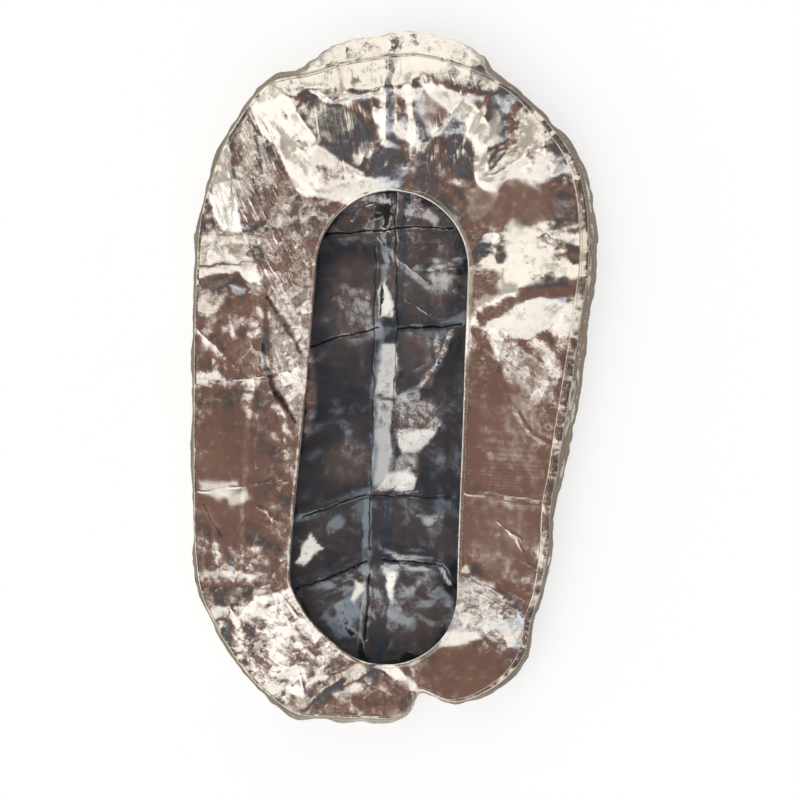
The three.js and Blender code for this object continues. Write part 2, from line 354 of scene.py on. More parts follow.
def sheetGrid(surface, columns, rows):
    u, v = np.meshgrid(np.linspace(0, 1, columns + 1), np.linspace(0, 1, rows + 1))
    grid = np.stack(surface(u, v), axis=-1)
    grid[:, -1] = grid[:, 0]
    return grid


def wrappedSheet(name, grid, thickness, materials, marks, flatFrom=math.inf):
    rows, columns = grid.shape[0] - 1, grid.shape[1] - 1
    bpy.ops.object.select_all(action="DESELECT")
    bpy.ops.mesh.primitive_grid_add(x_subdivisions=columns, y_subdivisions=rows, size=1)
    piece = bpy.context.object
    piece.name = piece.data.name = name
    mesh = piece.data
    flat = np.empty(len(mesh.vertices) * 3)
    mesh.vertices.foreach_get("co", flat)
    flat = flat.reshape(-1, 3)
    u = np.rint((flat[:, 0] + 0.5) * columns).astype(int)
    v = np.rint((flat[:, 1] + 0.5) * rows).astype(int)
    mesh.vertices.foreach_set("co", (grid[v, u] * mm).ravel())
    # where each point lies on the cloth, as a tube, so that patterns along it have no join, and from
    # the given row on as a plain sheet
    turn = 2 * math.pi * u / columns
    girth = rimLength[-1] / (2 * math.pi)
    steps = np.linalg.norm(np.diff(grid, axis=0), axis=-1)
    across = np.concatenate((np.zeros((1, columns + 1)), np.cumsum(steps, axis=0)))[v, u]
    place = np.stack((girth * np.cos(turn), girth * np.sin(turn), across), axis=-1)
    place = np.where((v >= flatFrom)[:, None], grid[v, u], place) * mm
    mesh.attributes.new("clothPlace", "FLOAT_VECTOR", "POINT").data.foreach_set("vector", place.ravel())
    for mark, values in marks.items():
        kind, part = ("FLOAT_VECTOR", "vector") if values.ndim == 3 else ("FLOAT", "value")
        mesh.attributes.new(mark, kind, "POINT").data.foreach_set(part, values[v, u].ravel())
    for material in materials:
        mesh.materials.append(material)
    mesh.update()
    bpy.ops.object.mode_set(mode="EDIT")
    bpy.ops.mesh.select_all(action="SELECT")
    bpy.ops.mesh.remove_doubles(threshold=weldDistance * mm)
    bpy.ops.object.mode_set(mode="OBJECT")
    solid = piece.modifiers.new("cloth", "SOLIDIFY")
    solid.thickness = thickness * mm
    solid.offset = -1
    solid.material_offset = len(materials) - 1
    solid.material_offset_rim = 0
    bpy.ops.object.modifier_apply(modifier=solid.name)
    bpy.ops.object.shade_smooth()
    return piece


def gridNormals(x, y, z):
    points = np.stack((x, y, z), axis=-1)[:, :-1]
    across = np.roll(points, -1, axis=1) - np.roll(points, 1, axis=1)
    outward = np.gradient(points, axis=0)
    normals = np.cross(across, outward)
    normals /= np.maximum(np.linalg.norm(normals, axis=-1, keepdims=True), 1e-9)
    return np.concatenate((normals, normals[:, :1]), axis=1)


def spreadColumns(u, counts):
    edges = np.cumsum((0,) + tuple(counts)) / sum(counts)
    return np.interp(u, edges, np.arange(legs + 1))


# Shader nodes: a setting is a plain value, or another node's socket to link
def feed(tree, socket, value):
    if isinstance(value, bpy.types.NodeSocket):
        tree.links.new(value, socket)
    else:
        socket.default_value = value


def mathNode(tree, operation, *values):
    node = tree.nodes.new("ShaderNodeMath")
    node.operation = operation
    for socket, value in zip(node.inputs, values):
        feed(tree, socket, value)
    return node.outputs[0]


def plusScaled(tree, total, part, strength):
    return mathNode(tree, "ADD", total, mathNode(tree, "MULTIPLY", part, strength))


def vectorNode(tree, operation, *values, output="Vector"):
    node = tree.nodes.new("ShaderNodeVectorMath")
    node.operation = operation
    for socket, value in zip(node.inputs, values):
        feed(tree, socket, value)
    return node.outputs[output]


def scaledVector(tree, vector, factor):
    scaled = vectorNode(tree, "SCALE", vector)
    feed(tree, scaled.node.inputs["Scale"], factor)
    return scaled


def dotNode(tree, first, second):
    return vectorNode(tree, "DOT_PRODUCT", first, second, output="Value")


def noiseNode(tree, place, scale, detail):
    node = tree.nodes.new("ShaderNodeTexNoise")
    for name, value in (("Vector", place), ("Scale", scale), ("Detail", detail)):
        feed(tree, node.inputs[name], value)
    return node.outputs


def rangeNode(tree, value, low=0.0, high=1.0, first=0.0, last=1.0):
    node = tree.nodes.new("ShaderNodeMapRange")
    names = ("Value", "From Min", "From Max", "To Min", "To Max")
    for name, setting in zip(names, (value, low, high, first, last)):
        feed(tree, node.inputs[name], setting)
    return node.outputs["Result"]


def mixedColour(tree, factor, first, second):
    node = tree.nodes.new("ShaderNodeMix")
    node.data_type = "RGBA"
    feed(tree, node.inputs[0], factor)
    for socket, value in ((node.inputs[6], first), (node.inputs[7], second)):
        feed(tree, socket, (*value, 1) if isinstance(value, tuple) else value)
    return node.outputs[2]


def markNode(tree, name):
    node = tree.nodes.new("ShaderNodeAttribute")
    node.attribute_name = name
    return node.outputs


def newGroup(name, inputs, outputs):
    group = bpy.data.node_groups.new(name, "ShaderNodeTree")
    for sockets, side in ((inputs, "INPUT"), (outputs, "OUTPUT")):
        for socket, kind in sockets.items():
            group.interface.new_socket(socket, in_out=side, socket_type="NodeSocket" + kind)
    return group, group.nodes.new("NodeGroupInput").outputs, group.nodes.new("NodeGroupOutput").inputs


def placed(tree, group, **values):
    node = tree.nodes.new("ShaderNodeGroup")
    node.node_tree = group
    for socket, value in values.items():
        feed(tree, node.inputs[socket], value)
    return node.outputs


# The foil's patterns: sizes are pairs of a multiple of the pattern's scale and a strength, and a noise
# is cut off at a low and a high level
foilPattern = {
    "crinkleSizes": ((1.0, 0.6), (2.6, 0.3), (6.0, 0.14)),
    "crinkleWarp": 0.005,
    "facetSizes": ((1.0, 1.0), (2.7, 0.8)),
    "facetWarp": 0.008,
    "wrinkleDraw": 0.2,
    "wrinklePatchScale": 7,
    "wrinklePatchCut": (0.46, 0.66),
    "streakSizes": ((1.0, 1.0), (2.3, 0.45)),
    "creaseBend": 0.022,
    "creaseBendScale": 16,
    "creaseWornScale": 30,
    "creaseWornCut": (0.4, 0.58),
    "creaseLeast": 0.25,
    "creaseCore": (0.45, 0.8),
    "hazeCut": (0.38, 0.68),
    "rubbedScale": 9.0,
    "rubbedCut": (0.52, 0.7),
    "waveLength": 0.314,  # of a wave texture at scale 1
}
noiseMiddle = 0.5


# Small pyramids of three sizes, the wrinkles between the folds
def fineCrinkleGroup():
    group, entry, leave = newGroup("fineCrinkle", dict(Vector="Vector", Scale="Float"), dict(Height="Float"))
    warp = noiseNode(group, entry["Vector"], entry["Scale"], 2)["Color"]
    bent = vectorNode(group, "MULTIPLY_ADD", warp, (foilPattern["crinkleWarp"],) * 3, entry["Vector"])
    height = 0.0
    for factor, weight in foilPattern["crinkleSizes"]:
        cells = group.nodes.new("ShaderNodeTexVoronoi")
        cells.distance = "MANHATTAN"
        feed(group, cells.inputs["Vector"], bent)
        feed(group, cells.inputs["Scale"], mathNode(group, "MULTIPLY", entry["Scale"], factor))
        height = plusScaled(group, height, cells.outputs["Distance"], weight)
    feed(group, leave["Height"], height)
    return group


# Facets that each face their own way, so that every one takes its own tone
def facetTiltGroup():
    group, entry, leave = newGroup(
        "facetTilt", dict(Vector="Vector", Scale="Float", Tilt="Float", Normal="Vector"),
        dict(Normal="Vector"))
    warp = noiseNode(group, entry["Vector"], entry["Scale"], 1)["Color"]
    bent = vectorNode(group, "MULTIPLY_ADD", warp, (foilPattern["facetWarp"],) * 3, entry["Vector"])
    normal = entry["Normal"]
    for factor, weight in foilPattern["facetSizes"]:
        cells = group.nodes.new("ShaderNodeTexVoronoi")
        feed(group, cells.inputs["Vector"], bent)
        feed(group, cells.inputs["Scale"], mathNode(group, "MULTIPLY", entry["Scale"], factor))
        lean = vectorNode(group, "SUBTRACT", cells.outputs["Color"], (noiseMiddle,) * 3)
        lean = scaledVector(group, lean, mathNode(group, "MULTIPLY", entry["Tilt"], weight))
        normal = vectorNode(group, "ADD", normal, lean)
    feed(group, leave["Normal"], vectorNode(group, "NORMALIZE", normal))
    return group


# The face of a facet that leans, or is held, its own way
def facetTurnGroup():
    group, entry, leave = newGroup("facetTurn", dict(Normal="Vector", Lean="Vector"), dict(Normal="Vector"))
    parts = group.nodes.new("ShaderNodeSeparateXYZ")
    feed(group, parts.inputs[0], entry["Lean"])
    kept = scaledVector(group, entry["Normal"], mathNode(group, "SUBTRACT", 1.0, parts.outputs["Z"]))
    turned = vectorNode(group, "ADD", kept, entry["Lean"])
    feed(group, leave["Normal"], vectorNode(group, "NORMALIZE", turned))
    return group


# How far a noise is from its middle, which gives sharp valleys
def noiseValley(tree, place, scale, detail):
    broad = noiseNode(tree, place, scale, detail)["Fac"]
    return mathNode(tree, "ABSOLUTE", mathNode(tree, "SUBTRACT", broad, noiseMiddle))


# Long wrinkles that run across the cloth, here and there
def longWrinkleGroup():
    group, entry, leave = newGroup("longWrinkle", dict(Place="Vector", Scale="Float"), dict(Height="Float"))
    drawn = vectorNode(group, "MULTIPLY", entry["Place"], (1.0, 1.0, foilPattern["wrinkleDraw"]))
    edge = noiseValley(group, drawn, entry["Scale"], 2)
    patches = noiseNode(group, entry["Place"], foilPattern["wrinklePatchScale"], 2)["Fac"]
    patches = rangeNode(group, patches, *foilPattern["wrinklePatchCut"])
    feed(group, leave["Height"], mathNode(group, "MULTIPLY", edge, patches))
    return group


# Fine streaks along the drawn cloth
def fineStreakGroup():
    group, entry, leave = newGroup("fineStreak", dict(Place="Vector", Scale="Float"), dict(Height="Float"))
    height = 0.0
    for factor, weight in foilPattern["streakSizes"]:
        scale = mathNode(group, "MULTIPLY", entry["Scale"], factor)
        height = plusScaled(group, height, noiseValley(group, entry["Place"], scale, 1), weight)
    feed(group, leave["Height"], height)
    return group


# A crisp crease along a line on the surface, sharper than the mesh can carry; its core is where the foils
# paint their crease shade, a painted shade
def creaseLineGroup():
    group, entry, leave = newGroup(
        "creaseLine", dict(Place="Vector", Start="Vector", Run="Vector", Width="Float"),
        dict(Height="Float", Core="Float"))
    warp = noiseNode(group, entry["Place"], foilPattern["creaseBendScale"], 3)["Color"]
    bend = vectorNode(group, "SUBTRACT", warp, (noiseMiddle,) * 3)
    bendReach = (foilPattern["creaseBend"], foilPattern["creaseBend"], 0)
    place = vectorNode(group, "MULTIPLY_ADD", bend, bendReach, entry["Place"])
    fromStart = vectorNode(group, "SUBTRACT", vectorNode(group, "MULTIPLY", place, (1, 1, 0)), entry["Start"])
    run = entry["Run"]
    share = mathNode(group, "DIVIDE", dotNode(group, fromStart, run), dotNode(group, run, run))
    clamped = mathNode(group, "MINIMUM", mathNode(group, "MAXIMUM", share, 0.0), 1.0)
    aside = vectorNode(group, "SUBTRACT", fromStart, scaledVector(group, run, clamped))
    away = mathNode(group, "SQRT", dotNode(group, aside, aside))
    rise = mathNode(group, "SUBTRACT", 1.0, mathNode(group, "DIVIDE", away, entry["Width"]))
    worn = noiseNode(group, entry["Place"], foilPattern["creaseWornScale"], 2)["Fac"]
    worn = rangeNode(group, worn, *foilPattern["creaseWornCut"], foilPattern["creaseLeast"])
    feed(group, leave["Height"], mathNode(group, "MULTIPLY", mathNode(group, "MAXIMUM", rise, 0.0), worn))
    feed(group, leave["Core"], rangeNode(group, rise, *foilPattern["creaseCore"]))
    return group


# Patches of haze, dust and rubbed foil
def hazeGroup():
    group, entry, leave = newGroup(
        "haze", dict(Vector="Vector", Scale="Float"), dict(Mask="Float", Rubbed="Float"))
    cloud = noiseNode(group, entry["Vector"], entry["Scale"], 5)["Fac"]
    feed(group, leave["Mask"], rangeNode(group, cloud, *foilPattern["hazeCut"]))
    fineScale = mathNode(group, "MULTIPLY", entry["Scale"], foilPattern["rubbedScale"])
    fine = noiseNode(group, entry["Vector"], fineScale, 3)["Fac"]
    feed(group, leave["Rubbed"], rangeNode(group, fine, *foilPattern["rubbedCut"]))
    return group


# The glass cloth under the foil prints through it
def clothWeaveGroup():
    group, entry, leave = newGroup("clothWeave", dict(Place="Vector", Pitch="Float"), dict(Height="Float"))
    threads = []
    for direction in ("X", "Z"):
        wave = group.nodes.new("ShaderNodeTexWave")
        wave.bands_direction = direction
        feed(group, wave.inputs["Vector"], entry["Place"])
        scale = mathNode(group, "DIVIDE", foilPattern["waveLength"], entry["Pitch"])
        feed(group, wave.inputs["Scale"], scale)
        threads.append(wave.outputs["Fac"])
    feed(group, leave["Height"], mathNode(group, "MULTIPLY", *threads))
    return group


crinkleGroup = fineCrinkleGroup()
tiltGroup = facetTiltGroup()
turnGroup = facetTurnGroup()
wrinkleGroup = longWrinkleGroup()
streakGroup = fineStreakGroup()
creaseGroup = creaseLineGroup()
dustGroup = hazeGroup()
weaveGroup = clothWeaveGroup()
print("node groups ready")


# Materials
def newMaterial(name):
    material = bpy.data.materials.new(name)
    material.use_nodes = True
    return material, material.node_tree, material.node_tree.nodes["Principled BSDF"]


# The weave of the cloth under them is the same for all the foils
glassCloth = {"pitch": 0.0016, "print": 0.03}


# Wrinkles, facets and haze are shared by every foil, each in its own strength
def foilMaterial(name, finish):
    material, tree, shader = newMaterial(name)
    shader.inputs["Metallic"].default_value = finish["metal"]
    place = tree.nodes.new("ShaderNodeTexCoord").outputs["Object"]
    cloth = markNode(tree, "clothPlace")["Vector"]
    crumpled = markNode(tree, "crumpled")["Fac"]
    crinkle = placed(tree, crinkleGroup, Vector=place, Scale=finish["crinkleScale"])["Height"]
    wrinkle = placed(tree, wrinkleGroup, Place=cloth, Scale=finish["wrinkleScale"])["Height"]
    weave = placed(tree, weaveGroup, Place=cloth, Pitch=glassCloth["pitch"])["Height"]
    height = mathNode(tree, "MULTIPLY", crinkle, finish["crinkle"])
    height = mathNode(tree, "MULTIPLY", plusScaled(tree, height, wrinkle, finish["wrinkle"]), crumpled)
    height = plusScaled(tree, height, weave, glassCloth["print"])
    if "streak" in finish:
        drawn = markNode(tree, "streakPlace")["Vector"]
        streak = placed(tree, streakGroup, Place=drawn, Scale=finish["streakScale"])["Height"]
        streaked = mathNode(tree, "MULTIPLY", markNode(tree, "streaked")["Fac"], finish["streak"])
        height = plusScaled(tree, height, streak, streaked)
    # shade gathers the painted shade of the crease cores, each as strong as its row asks
    shade = 0.0
    for row in finish["creases"]:
        (ax, ay), (bx, by) = row["start"], row["end"]
        crease = placed(tree, creaseGroup, Place=place, Start=(ax * mm, ay * mm, 0),
                        Run=((bx - ax) * mm, (by - ay) * mm, 0), Width=row["width"] * mm)
        height = plusScaled(tree, height, crease["Height"], row["rise"])
        dark = mathNode(tree, "MULTIPLY", crease["Core"], row.get("dark", 0))
        shade = mathNode(tree, "MAXIMUM", shade, dark)
    bump = tree.nodes.new("ShaderNodeBump")
    bump.inputs["Distance"].default_value = mm
    feed(tree, bump.inputs["Height"], height)
    normal = tree.nodes.new("ShaderNodeNewGeometry").outputs["Normal"]
    turned = placed(tree, turnGroup, Normal=normal, Lean=markNode(tree, "leaning")["Vector"])
    feed(tree, bump.inputs["Normal"], turned["Normal"])
    lean = mathNode(tree, "MULTIPLY", crumpled, finish["facetTilt"])
    tilt = placed(tree, tiltGroup, Vector=place, Normal=bump.outputs["Normal"], Tilt=lean,
                  Scale=finish["facetScale"])
    feed(tree, shader.inputs["Normal"], tilt["Normal"])
    haze = placed(tree, dustGroup, Vector=place, Scale=finish["hazeScale"])
    colour = mixedColour(tree, haze["Mask"], finish["tint"], finish["hazeTint"])
    roughness = rangeNode(tree, haze["Rubbed"], first=finish["gloss"], last=finish["rubbed"])
    if "dulled" in finish:
        creased = mathNode(tree, "MAXIMUM", mathNode(tree, "SUBTRACT", crumpled, 1.0), 0.0)
        roughness = plusScaled(tree, roughness, creased, finish["dulled"])
    # a mark takes its own colour, gloss and full metal: the hem's paler satin band on the silver foil, and
    # the painted highlights on the inside's painted shade
    if "mark" in finish:
        mark = markNode(tree, finish["mark"])["Fac"]
        colour = mixedColour(tree, mark, colour, finish["markTint"])
        roughness = rangeNode(tree, mark, first=roughness, last=finish["markGloss"])
        feed(tree, shader.inputs["Metallic"], rangeNode(tree, mark, first=finish["metal"], last=1.0))
    # the crease cores are painted dark in the base colour: painted shade
    if finish["creases"]:
        colour = mixedColour(tree, shade, colour, finish["paintedCreaseShade"])
    feed(tree, shader.inputs["Base Color"], colour)
    feed(tree, shader.inputs["Roughness"], roughness)
    return material


silverFoil = foilMaterial("silverFoil", {
    "metal": 1.0,
    "tint": (0.88, 0.86, 0.83),
    "hazeTint": (0.80, 0.76, 0.71),
    "gloss": 0.15,
    "rubbed": 0.26,
    "dulled": 0.05,  # where the foil is much crumpled
    "crinkleScale": 26,
    "crinkle": 0.45,
    "wrinkleScale": 20,
    "wrinkle": 0.9,
    "streakScale": 56,
    "streak": 2.8,
    "facetScale": 40,
    "facetTilt": 0.11,
    "hazeScale": 5,
    "mark": "hemBand",
    "markTint": (0.92, 0.89, 0.83),
    "markGloss": 0.36,
    # the colour the crease cores are painted: painted shade in the slits and creases
    "paintedCreaseShade": (0.10, 0.09, 0.09),
    "creases": rowsOf(
        "part start end width rise dark",
        ("swag lip", (-227, 717), (-150, 674), 7, 1.4),
        ("swag lip", (-150, 674), (-40, 699), 7, 1.4),
        ("slanting head crease", (157, 660), (22, 515), 7, 1.6),
        ("left slit", (-311, 192), (-285, 146), 12, -0.4, 0.8),
        ("left slit", (-285, 146), (-255, 100), 21, -0.5, 0.88),
        ("left slit", (-255, 100), (-234, 56), 12, -0.4, 0.8),
        ("left slit", (-324, 74), (-314, 22), 11, -0.3, 0.7),
        ("left slit", (-314, 22), (-298, -31), 17, -0.4, 0.8),
        ("left slit", (-298, -31), (-268, -77), 19, -0.5, 0.88),
        ("left slit", (-268, -77), (-248, -116), 10, -0.4, 0.8),
        ("left shoulder line", (-338, 590), (-325, 500), 8, -1.2, 0.6),
        ("right slant ridge", (281, -57), (333, -135), 9, 0.45),
        ("right slant ridge", (333, -135), (385, -172), 10, 0.55),
        ("right packing crease", (180, -290), (385, -316), 5, 0.6),
        ("right wrinkle", (258, -366), (290, -392), 5, 0.5),
        ("right wrinkle", (290, -392), (314, -406), 8, 0.7),
        ("right wrinkle", (306, -410), (334, -468), 6, 0.6),
        ("right wrinkle", (330, -462), (372, -490), 6, 0.6),
        ("left wrinkle", (-346, -318), (-318, -332), 8, 0.6),
        ("left wrinkle", (-318, -332), (-300, -354), 6, 0.6),
        ("left wrinkle", (-300, -354), (-270, -364), 8, 0.7),
        ("left wrinkle", (-472, -318), (-428, -398), 6, 0, 0.5),
        ("left wrinkle", (-405, -420), (-366, -350), 6, 0.5),
        ("left slant crease", (-488, 115), (-395, 26), 5, 0.6),
        ("left slant crease", (-395, 26), (-330, 92), 4, 0.5),
        ("left cross crease", (-395, -10), (-300, -4), 4, 0.6),
        ("left packing crease", (-485, -285), (-262, -262), 5, 0.6),
        ("left long crease", (-342, -10), (-342, -275), 5, 0.7),
        ("foot wrinkle", (-408, -568), (-378, -619), 7, 1.0),
        ("foot wrinkle", (-362, -683), (-335, -631), 8, 1.1),
        ("foot wrinkle", (-335, -631), (-255, -618), 8, 1.1),
        ("foot wrinkle", (-366, -739), (-287, -735), 7, 1.1),
        ("foot wrinkle", (-287, -735), (-215, -707), 8, 1.1),
        ("foot wrinkle", (-235, -723), (-223, -771), 6, 1.0),
        ("foot wrinkle", (-287, -540), (-239, -592), 7, 1.0),
        ("foot wrinkle", (-410, -700), (-330, -738), 7, -0.9),
    ),
})

# The bag's inside and the cloth's underside: silver foil like the rest, painted dark bluish grey as painted
# shade, in random lighter and darker patches of that shade
paintedShadeFoil = foilMaterial("paintedShadeFoil", {
    "metal": 0.76,
    "tint": (0.125, 0.163, 0.212),
    "hazeTint": (0.21, 0.245, 0.29),
    "gloss": 0.14,
    "rubbed": 0.26,
    "crinkleScale": 30,
    "crinkle": 0.35,
    "wrinkleScale": 24,
    "wrinkle": 1.0,
    "facetScale": 24,
    "facetTilt": 0.06,
    "hazeScale": 6,
    # marked patches are lightened to silver: painted highlights
    "mark": "paintedHighlight",
    "markTint": (0.86, 0.84, 0.81),
    "markGloss": 0.15,
    # crease cores painted near black: painted shadow
    "paintedCreaseShade": (0.012, 0.012, 0.016),
    "creases": rowsOf(
        "part start end width rise dark",
        ("head crease", (-190, 355), (0, 372), 6, -1.0, 0.95),
        ("head crease", (0, 372), (150, 376), 6, -1.0, 0.95),
        ("upper crease", (-235, 70), (-42, 122), 6, -1.0, 0.95),
        ("upper crease", (10, 122), (165, 130), 9, -1.4, 0.95),
        ("upper slant crease", (8, 298), (76, 246), 5, 1.3),
        ("upper thin crease", (30, 195), (112, 145), 4, 0.8),
        ("curled crease", (148, 112), (108, 34), 6, 1.7),
        ("curled crease", (108, 34), (62, -30), 6, 1.7),
        ("curled crease", (62, -30), (12, -48), 6, 1.6),
        ("lower crease", (-230, -355), (-72, -300), 5, -1.0, 0.95),
        ("lower crease", (-72, -300), (150, -308), 5, -0.8, 0.7),
        ("band edge", (-10, -297), (62, -294), 5, 1.3),
        ("foot crease", (-245, -540), (-72, -470), 7, -1.2, 0.95),
        ("foot crease", (-30, -462), (120, -478), 6, -1.2, 0.9),
        ("foot crease", (120, -478), (160, -530), 6, -1.2, 0.9),
        ("foot line", (-62, -500), (-72, -660), 9, -1.6, 0.9),
        ("head spark", (-104, 396), (-94, 416), 5, 1.6),
        ("head spark", (-88, 424), (-52, 436), 4, 1.4),
        ("head spark", (-30, 380), (-8, 366), 4, 1.5),
        ("head spark", (-40, 350), (-22, 330), 4, 1.4),
        ("centre fold", (4, 475), (8, 110), 5, -0.7, 0.7),
        ("centre fold", (-46, 330), (-62, -440), 5, -0.7, 0.7),
        ("centre fold", (8, 110), (-2, -120), 4, -0.5, 0.5),
    ),
})

tapeFoil = foilMaterial("tapeFoil", {
    "metal": 1.0,
    "tint": (0.80, 0.76, 0.69),
    "hazeTint": (0.66, 0.62, 0.55),
    "gloss": 0.17,
    "rubbed": 0.29,
    "crinkleScale": 40,
    "crinkle": 0.5,
    "wrinkleScale": 60,
    "wrinkle": 1.0,
    "facetScale": 34,
    "facetTilt": 0.08,
    "hazeScale": 8,
    "creases": [],
})


threadFinish = {
    "tint": (0.66, 0.62, 0.54),
    "hazeTint": (0.42, 0.38, 0.33),
    "hazeScale": 40.0,
    "roughness": 0.62,
}


def threadMaterial():
    material, tree, shader = newMaterial("paleThread")
    place = tree.nodes.new("ShaderNodeTexCoord").outputs["Object"]
    haze = placed(tree, dustGroup, Vector=place, Scale=threadFinish["hazeScale"])["Mask"]
    colour = mixedColour(tree, haze, threadFinish["tint"], threadFinish["hazeTint"])
    feed(tree, shader.inputs["Base Color"], colour)
    shader.inputs["Roughness"].default_value = threadFinish["roughness"]
    return material


paleThread = threadMaterial()
print("foil materials ready")


# Floor panel: the ring of foil cloth on top, from the opening's folded hem out to the seam
floorPanel = {
    "columns": (270, 100, 160, 100),  # in the four legs
    "rows": 68,
    "hemRows": 9,
    "hemDrop": 1.8,  # the turned-under layer below the top one
    "hemRoll": 0.9,
    # the hem's rows: turned under, round the edge, and back over the top, in shares of its width, of
    # its drop and of its roll
    "hemAcross": (1, 0.5, 0.2, 0.04, -0.04, 0.04, 0.2, 0.55, 1, 1.3),
    "hemBelow": (1, 1, 1, 0.8, 0.4, 0.1, 0, 0, 0, 0),
    "hemAbove": (0, 0, 0, 0, 0.1, 0.4, 0.75, 1, 0.2, 0),
    "hemUneven": 0.3,
    "hemOctaves": octavesOf(
        (130, 0.6, 0.0, 17),
        (46, 0.5, 0.0, 18),
    ),
    "hemShine": ((7.5, 11), (0.0, 0.85)),  # a wide hem is paler
    "hemCalm": 0.3,  # how much of the crumple is left beside the hem
    "calmEnds": (10, 70),
    "gatherEnds": (70, 220),
    "mouthHeight": 98,
    "highest": 158,
    "roundOff": 8,  # past the highest level, folds are rounded off in so much height
    "thickness": 0.9,
    "octaves": octavesOf(
        (150, 4.5, 0.3, 11),
        (72, 3.0, 1.1, 12),
        (36, 1.6, 2.0, 13),
        (18, 0.8, 0.8, 14),
    ),
    "gathers": octavesOf(
        (44, 3.6, 0.0, 15),
        (21, 1.6, 0.2, 16),
    ),
    "crumpledMost": 1.8,  # in the shader, past which the small facets blur
    "gatherDraw": 0.18,  # how much shorter the gathers are read along their length
    "patches": rowsOf(
        "centre half gain",
        ((277, -260), (130, 300), 0.2),
        ((-405, -240), (110, 200), 0.22),
        ((-345, -470), (100, 60), 1.15),
        ((290, 425), (140, 72), 0.15),
        ((170, -750), (120, 80), 0.4),
        ((310, -755), (50, 60), 1.8),
        ((-310, -680), (190, 130), 2.8),
        ((105, 665), (48, 70), 0.3),
        ((-130, 600), (90, 90), 0.6),
        ((-410, 180), (90, 190), 0.75),
        ((370, 600), (110, 110), 1.7),
        ((360, 212), (170, 34), 0.4),
        ((250, -580), (90, 70), 1.5),
    ),
    "streaks": rowsOf(
        "part centre half bearing cell rise seed fine",
        ("swag hollow", (-130, 595), (95, 100), -80, 20, 1.3, 81),
        ("left shoulder", (-345, 510), (80, 180), -65, 22, 1.8, 82),
        ("left of opening", (-285, 320), (65, 130), -62, 20, 2.2, 83, 0.6),
        ("head hollow", (130, 560), (100, 95), -86, 22, 1.1, 84),
        ("left edge", (-440, 470), (55, 130), -72, 18, 1.6, 85),
        ("left crown", (-140, 750), (160, 70), -88, 26, 1.2, 86, 0.6),
        ("right crown", (170, 740), (160, 80), -70, 26, 1.2, 87, 0.6),
        ("left of opening", (-270, -20), (50, 160), -70, 16, 0.6, 88, 0.2),
        ("right foot", (250, -565), (90, 70), -28, 26, 0.9, 89, 0.3),
        ("left foot", (-320, -670), (140, 100), -30, 26, 2.0, 90, 0.35),
        ("right bulges", (345, 85), (125, 95), -38, 26, 1.0, 91, 0.3),
    ),
    "folds": rowsOf(
        "part start end rise left right fan flat",
        ("swag lip", (-230, 718), (-150, 674), 5, 50, 12),
        ("swag lip", (-150, 674), (-40, 700), 5, 50, 12),
        ("swag ridge", (-268, 712), (-190, 562), 22, 130, 95, 0.6),
        ("swag ridge", (-190, 562), (-80, 506), 22, 120, 90),
        ("left shoulder trough", (-357, 675), (-335, 600), -9, 60, 70),
        ("left shoulder trough", (-335, 600), (-245, 465), -12, 60, 95),
        ("left edge ridge", (-412, 590), (-390, 440), 18, 110, 55),
        ("left edge ridge", (-390, 440), (-350, 300), 16, 95, 60),
        ("crown ridge", (-225, 700), (190, 720), 24, 80, 130),
        ("opening brow", (-185, 462), (-20, 500), 8, 60, 38),
        ("head pleat", (-22, 730), (-20, 575), 6, 22, 20),
        ("head pleat", (12, 720), (10, 610), 4, 16, 15),
        ("head pleat", (46, 735), (58, 575), 6, 20, 20),
        ("slanting head crease", (157, 660), (22, 515), 10, 150, 170),
        ("right shoulder ridge", (88, 752), (230, 615), 16, 90, 40),
        ("right shoulder ridge", (230, 615), (238, 497), 9, 44, 32),
        ("head hollow", (185, 625), (200, 490), -9, 46, 150),
        ("star pleat", (236, 494), (372, 556), 26, 60, 70, 0.85),
        ("right corner facet", (300, 690), (335, 570), 11, 120, 50),
        ("right bulge", (215, 150), (320, 208), 25, 110, 96, None, 12),
        ("right bulge", (320, 208), (468, 215), 31, 130, 98, None, 14),
        ("right dint", (232, 330), (262, 285), -9, 28, 26),
        ("right upper lip", (378, 352), (470, 296), 3, 30, 24),
        ("right packing crease", (180, -290), (385, -316), 1.5, 16, 16),
        ("left upper facet", (-485, 264), (-335, 258), 7, 64, 38),
        ("left facet", (-447, 214), (-362, 190), 4, 36, 42),
        ("left facet", (-436, 112), (-360, 94), 3, 28, 32),
        ("left slant crease", (-488, 115), (-395, 26), 3, 18, 16),
        ("left cross crease", (-490, 0), (-408, -8), 3, 26, 26),
        ("left long crease", (-318, 262), (-328, 65), 6, 80, 40),
        ("left long crease", (-328, 65), (-345, -60), 3, 60, 26),
        ("left long crease", (-345, -60), (-372, -500), 1.5, 60, 16),
        ("foot left ridge", (-440, -560), (-190, -600), 9, 50, 48),
        ("foot left hollow", (-380, -680), (-215, -665), -6, 46, 50),
        ("foot left ridge", (-345, -760), (-190, -640), 7, 38, 40),
        ("foot left lobe", (-235, -825), (-75, -745), 7, 42, 42),
        ("foot pleat", (-25, -735), (45, -795), -10, 30, 30),
        ("foot right lobe", (110, -735), (300, -725), 4, 40, 90),
        ("foot right facet", (190, -525), (330, -640), 10, 50, 72),
    ),
}


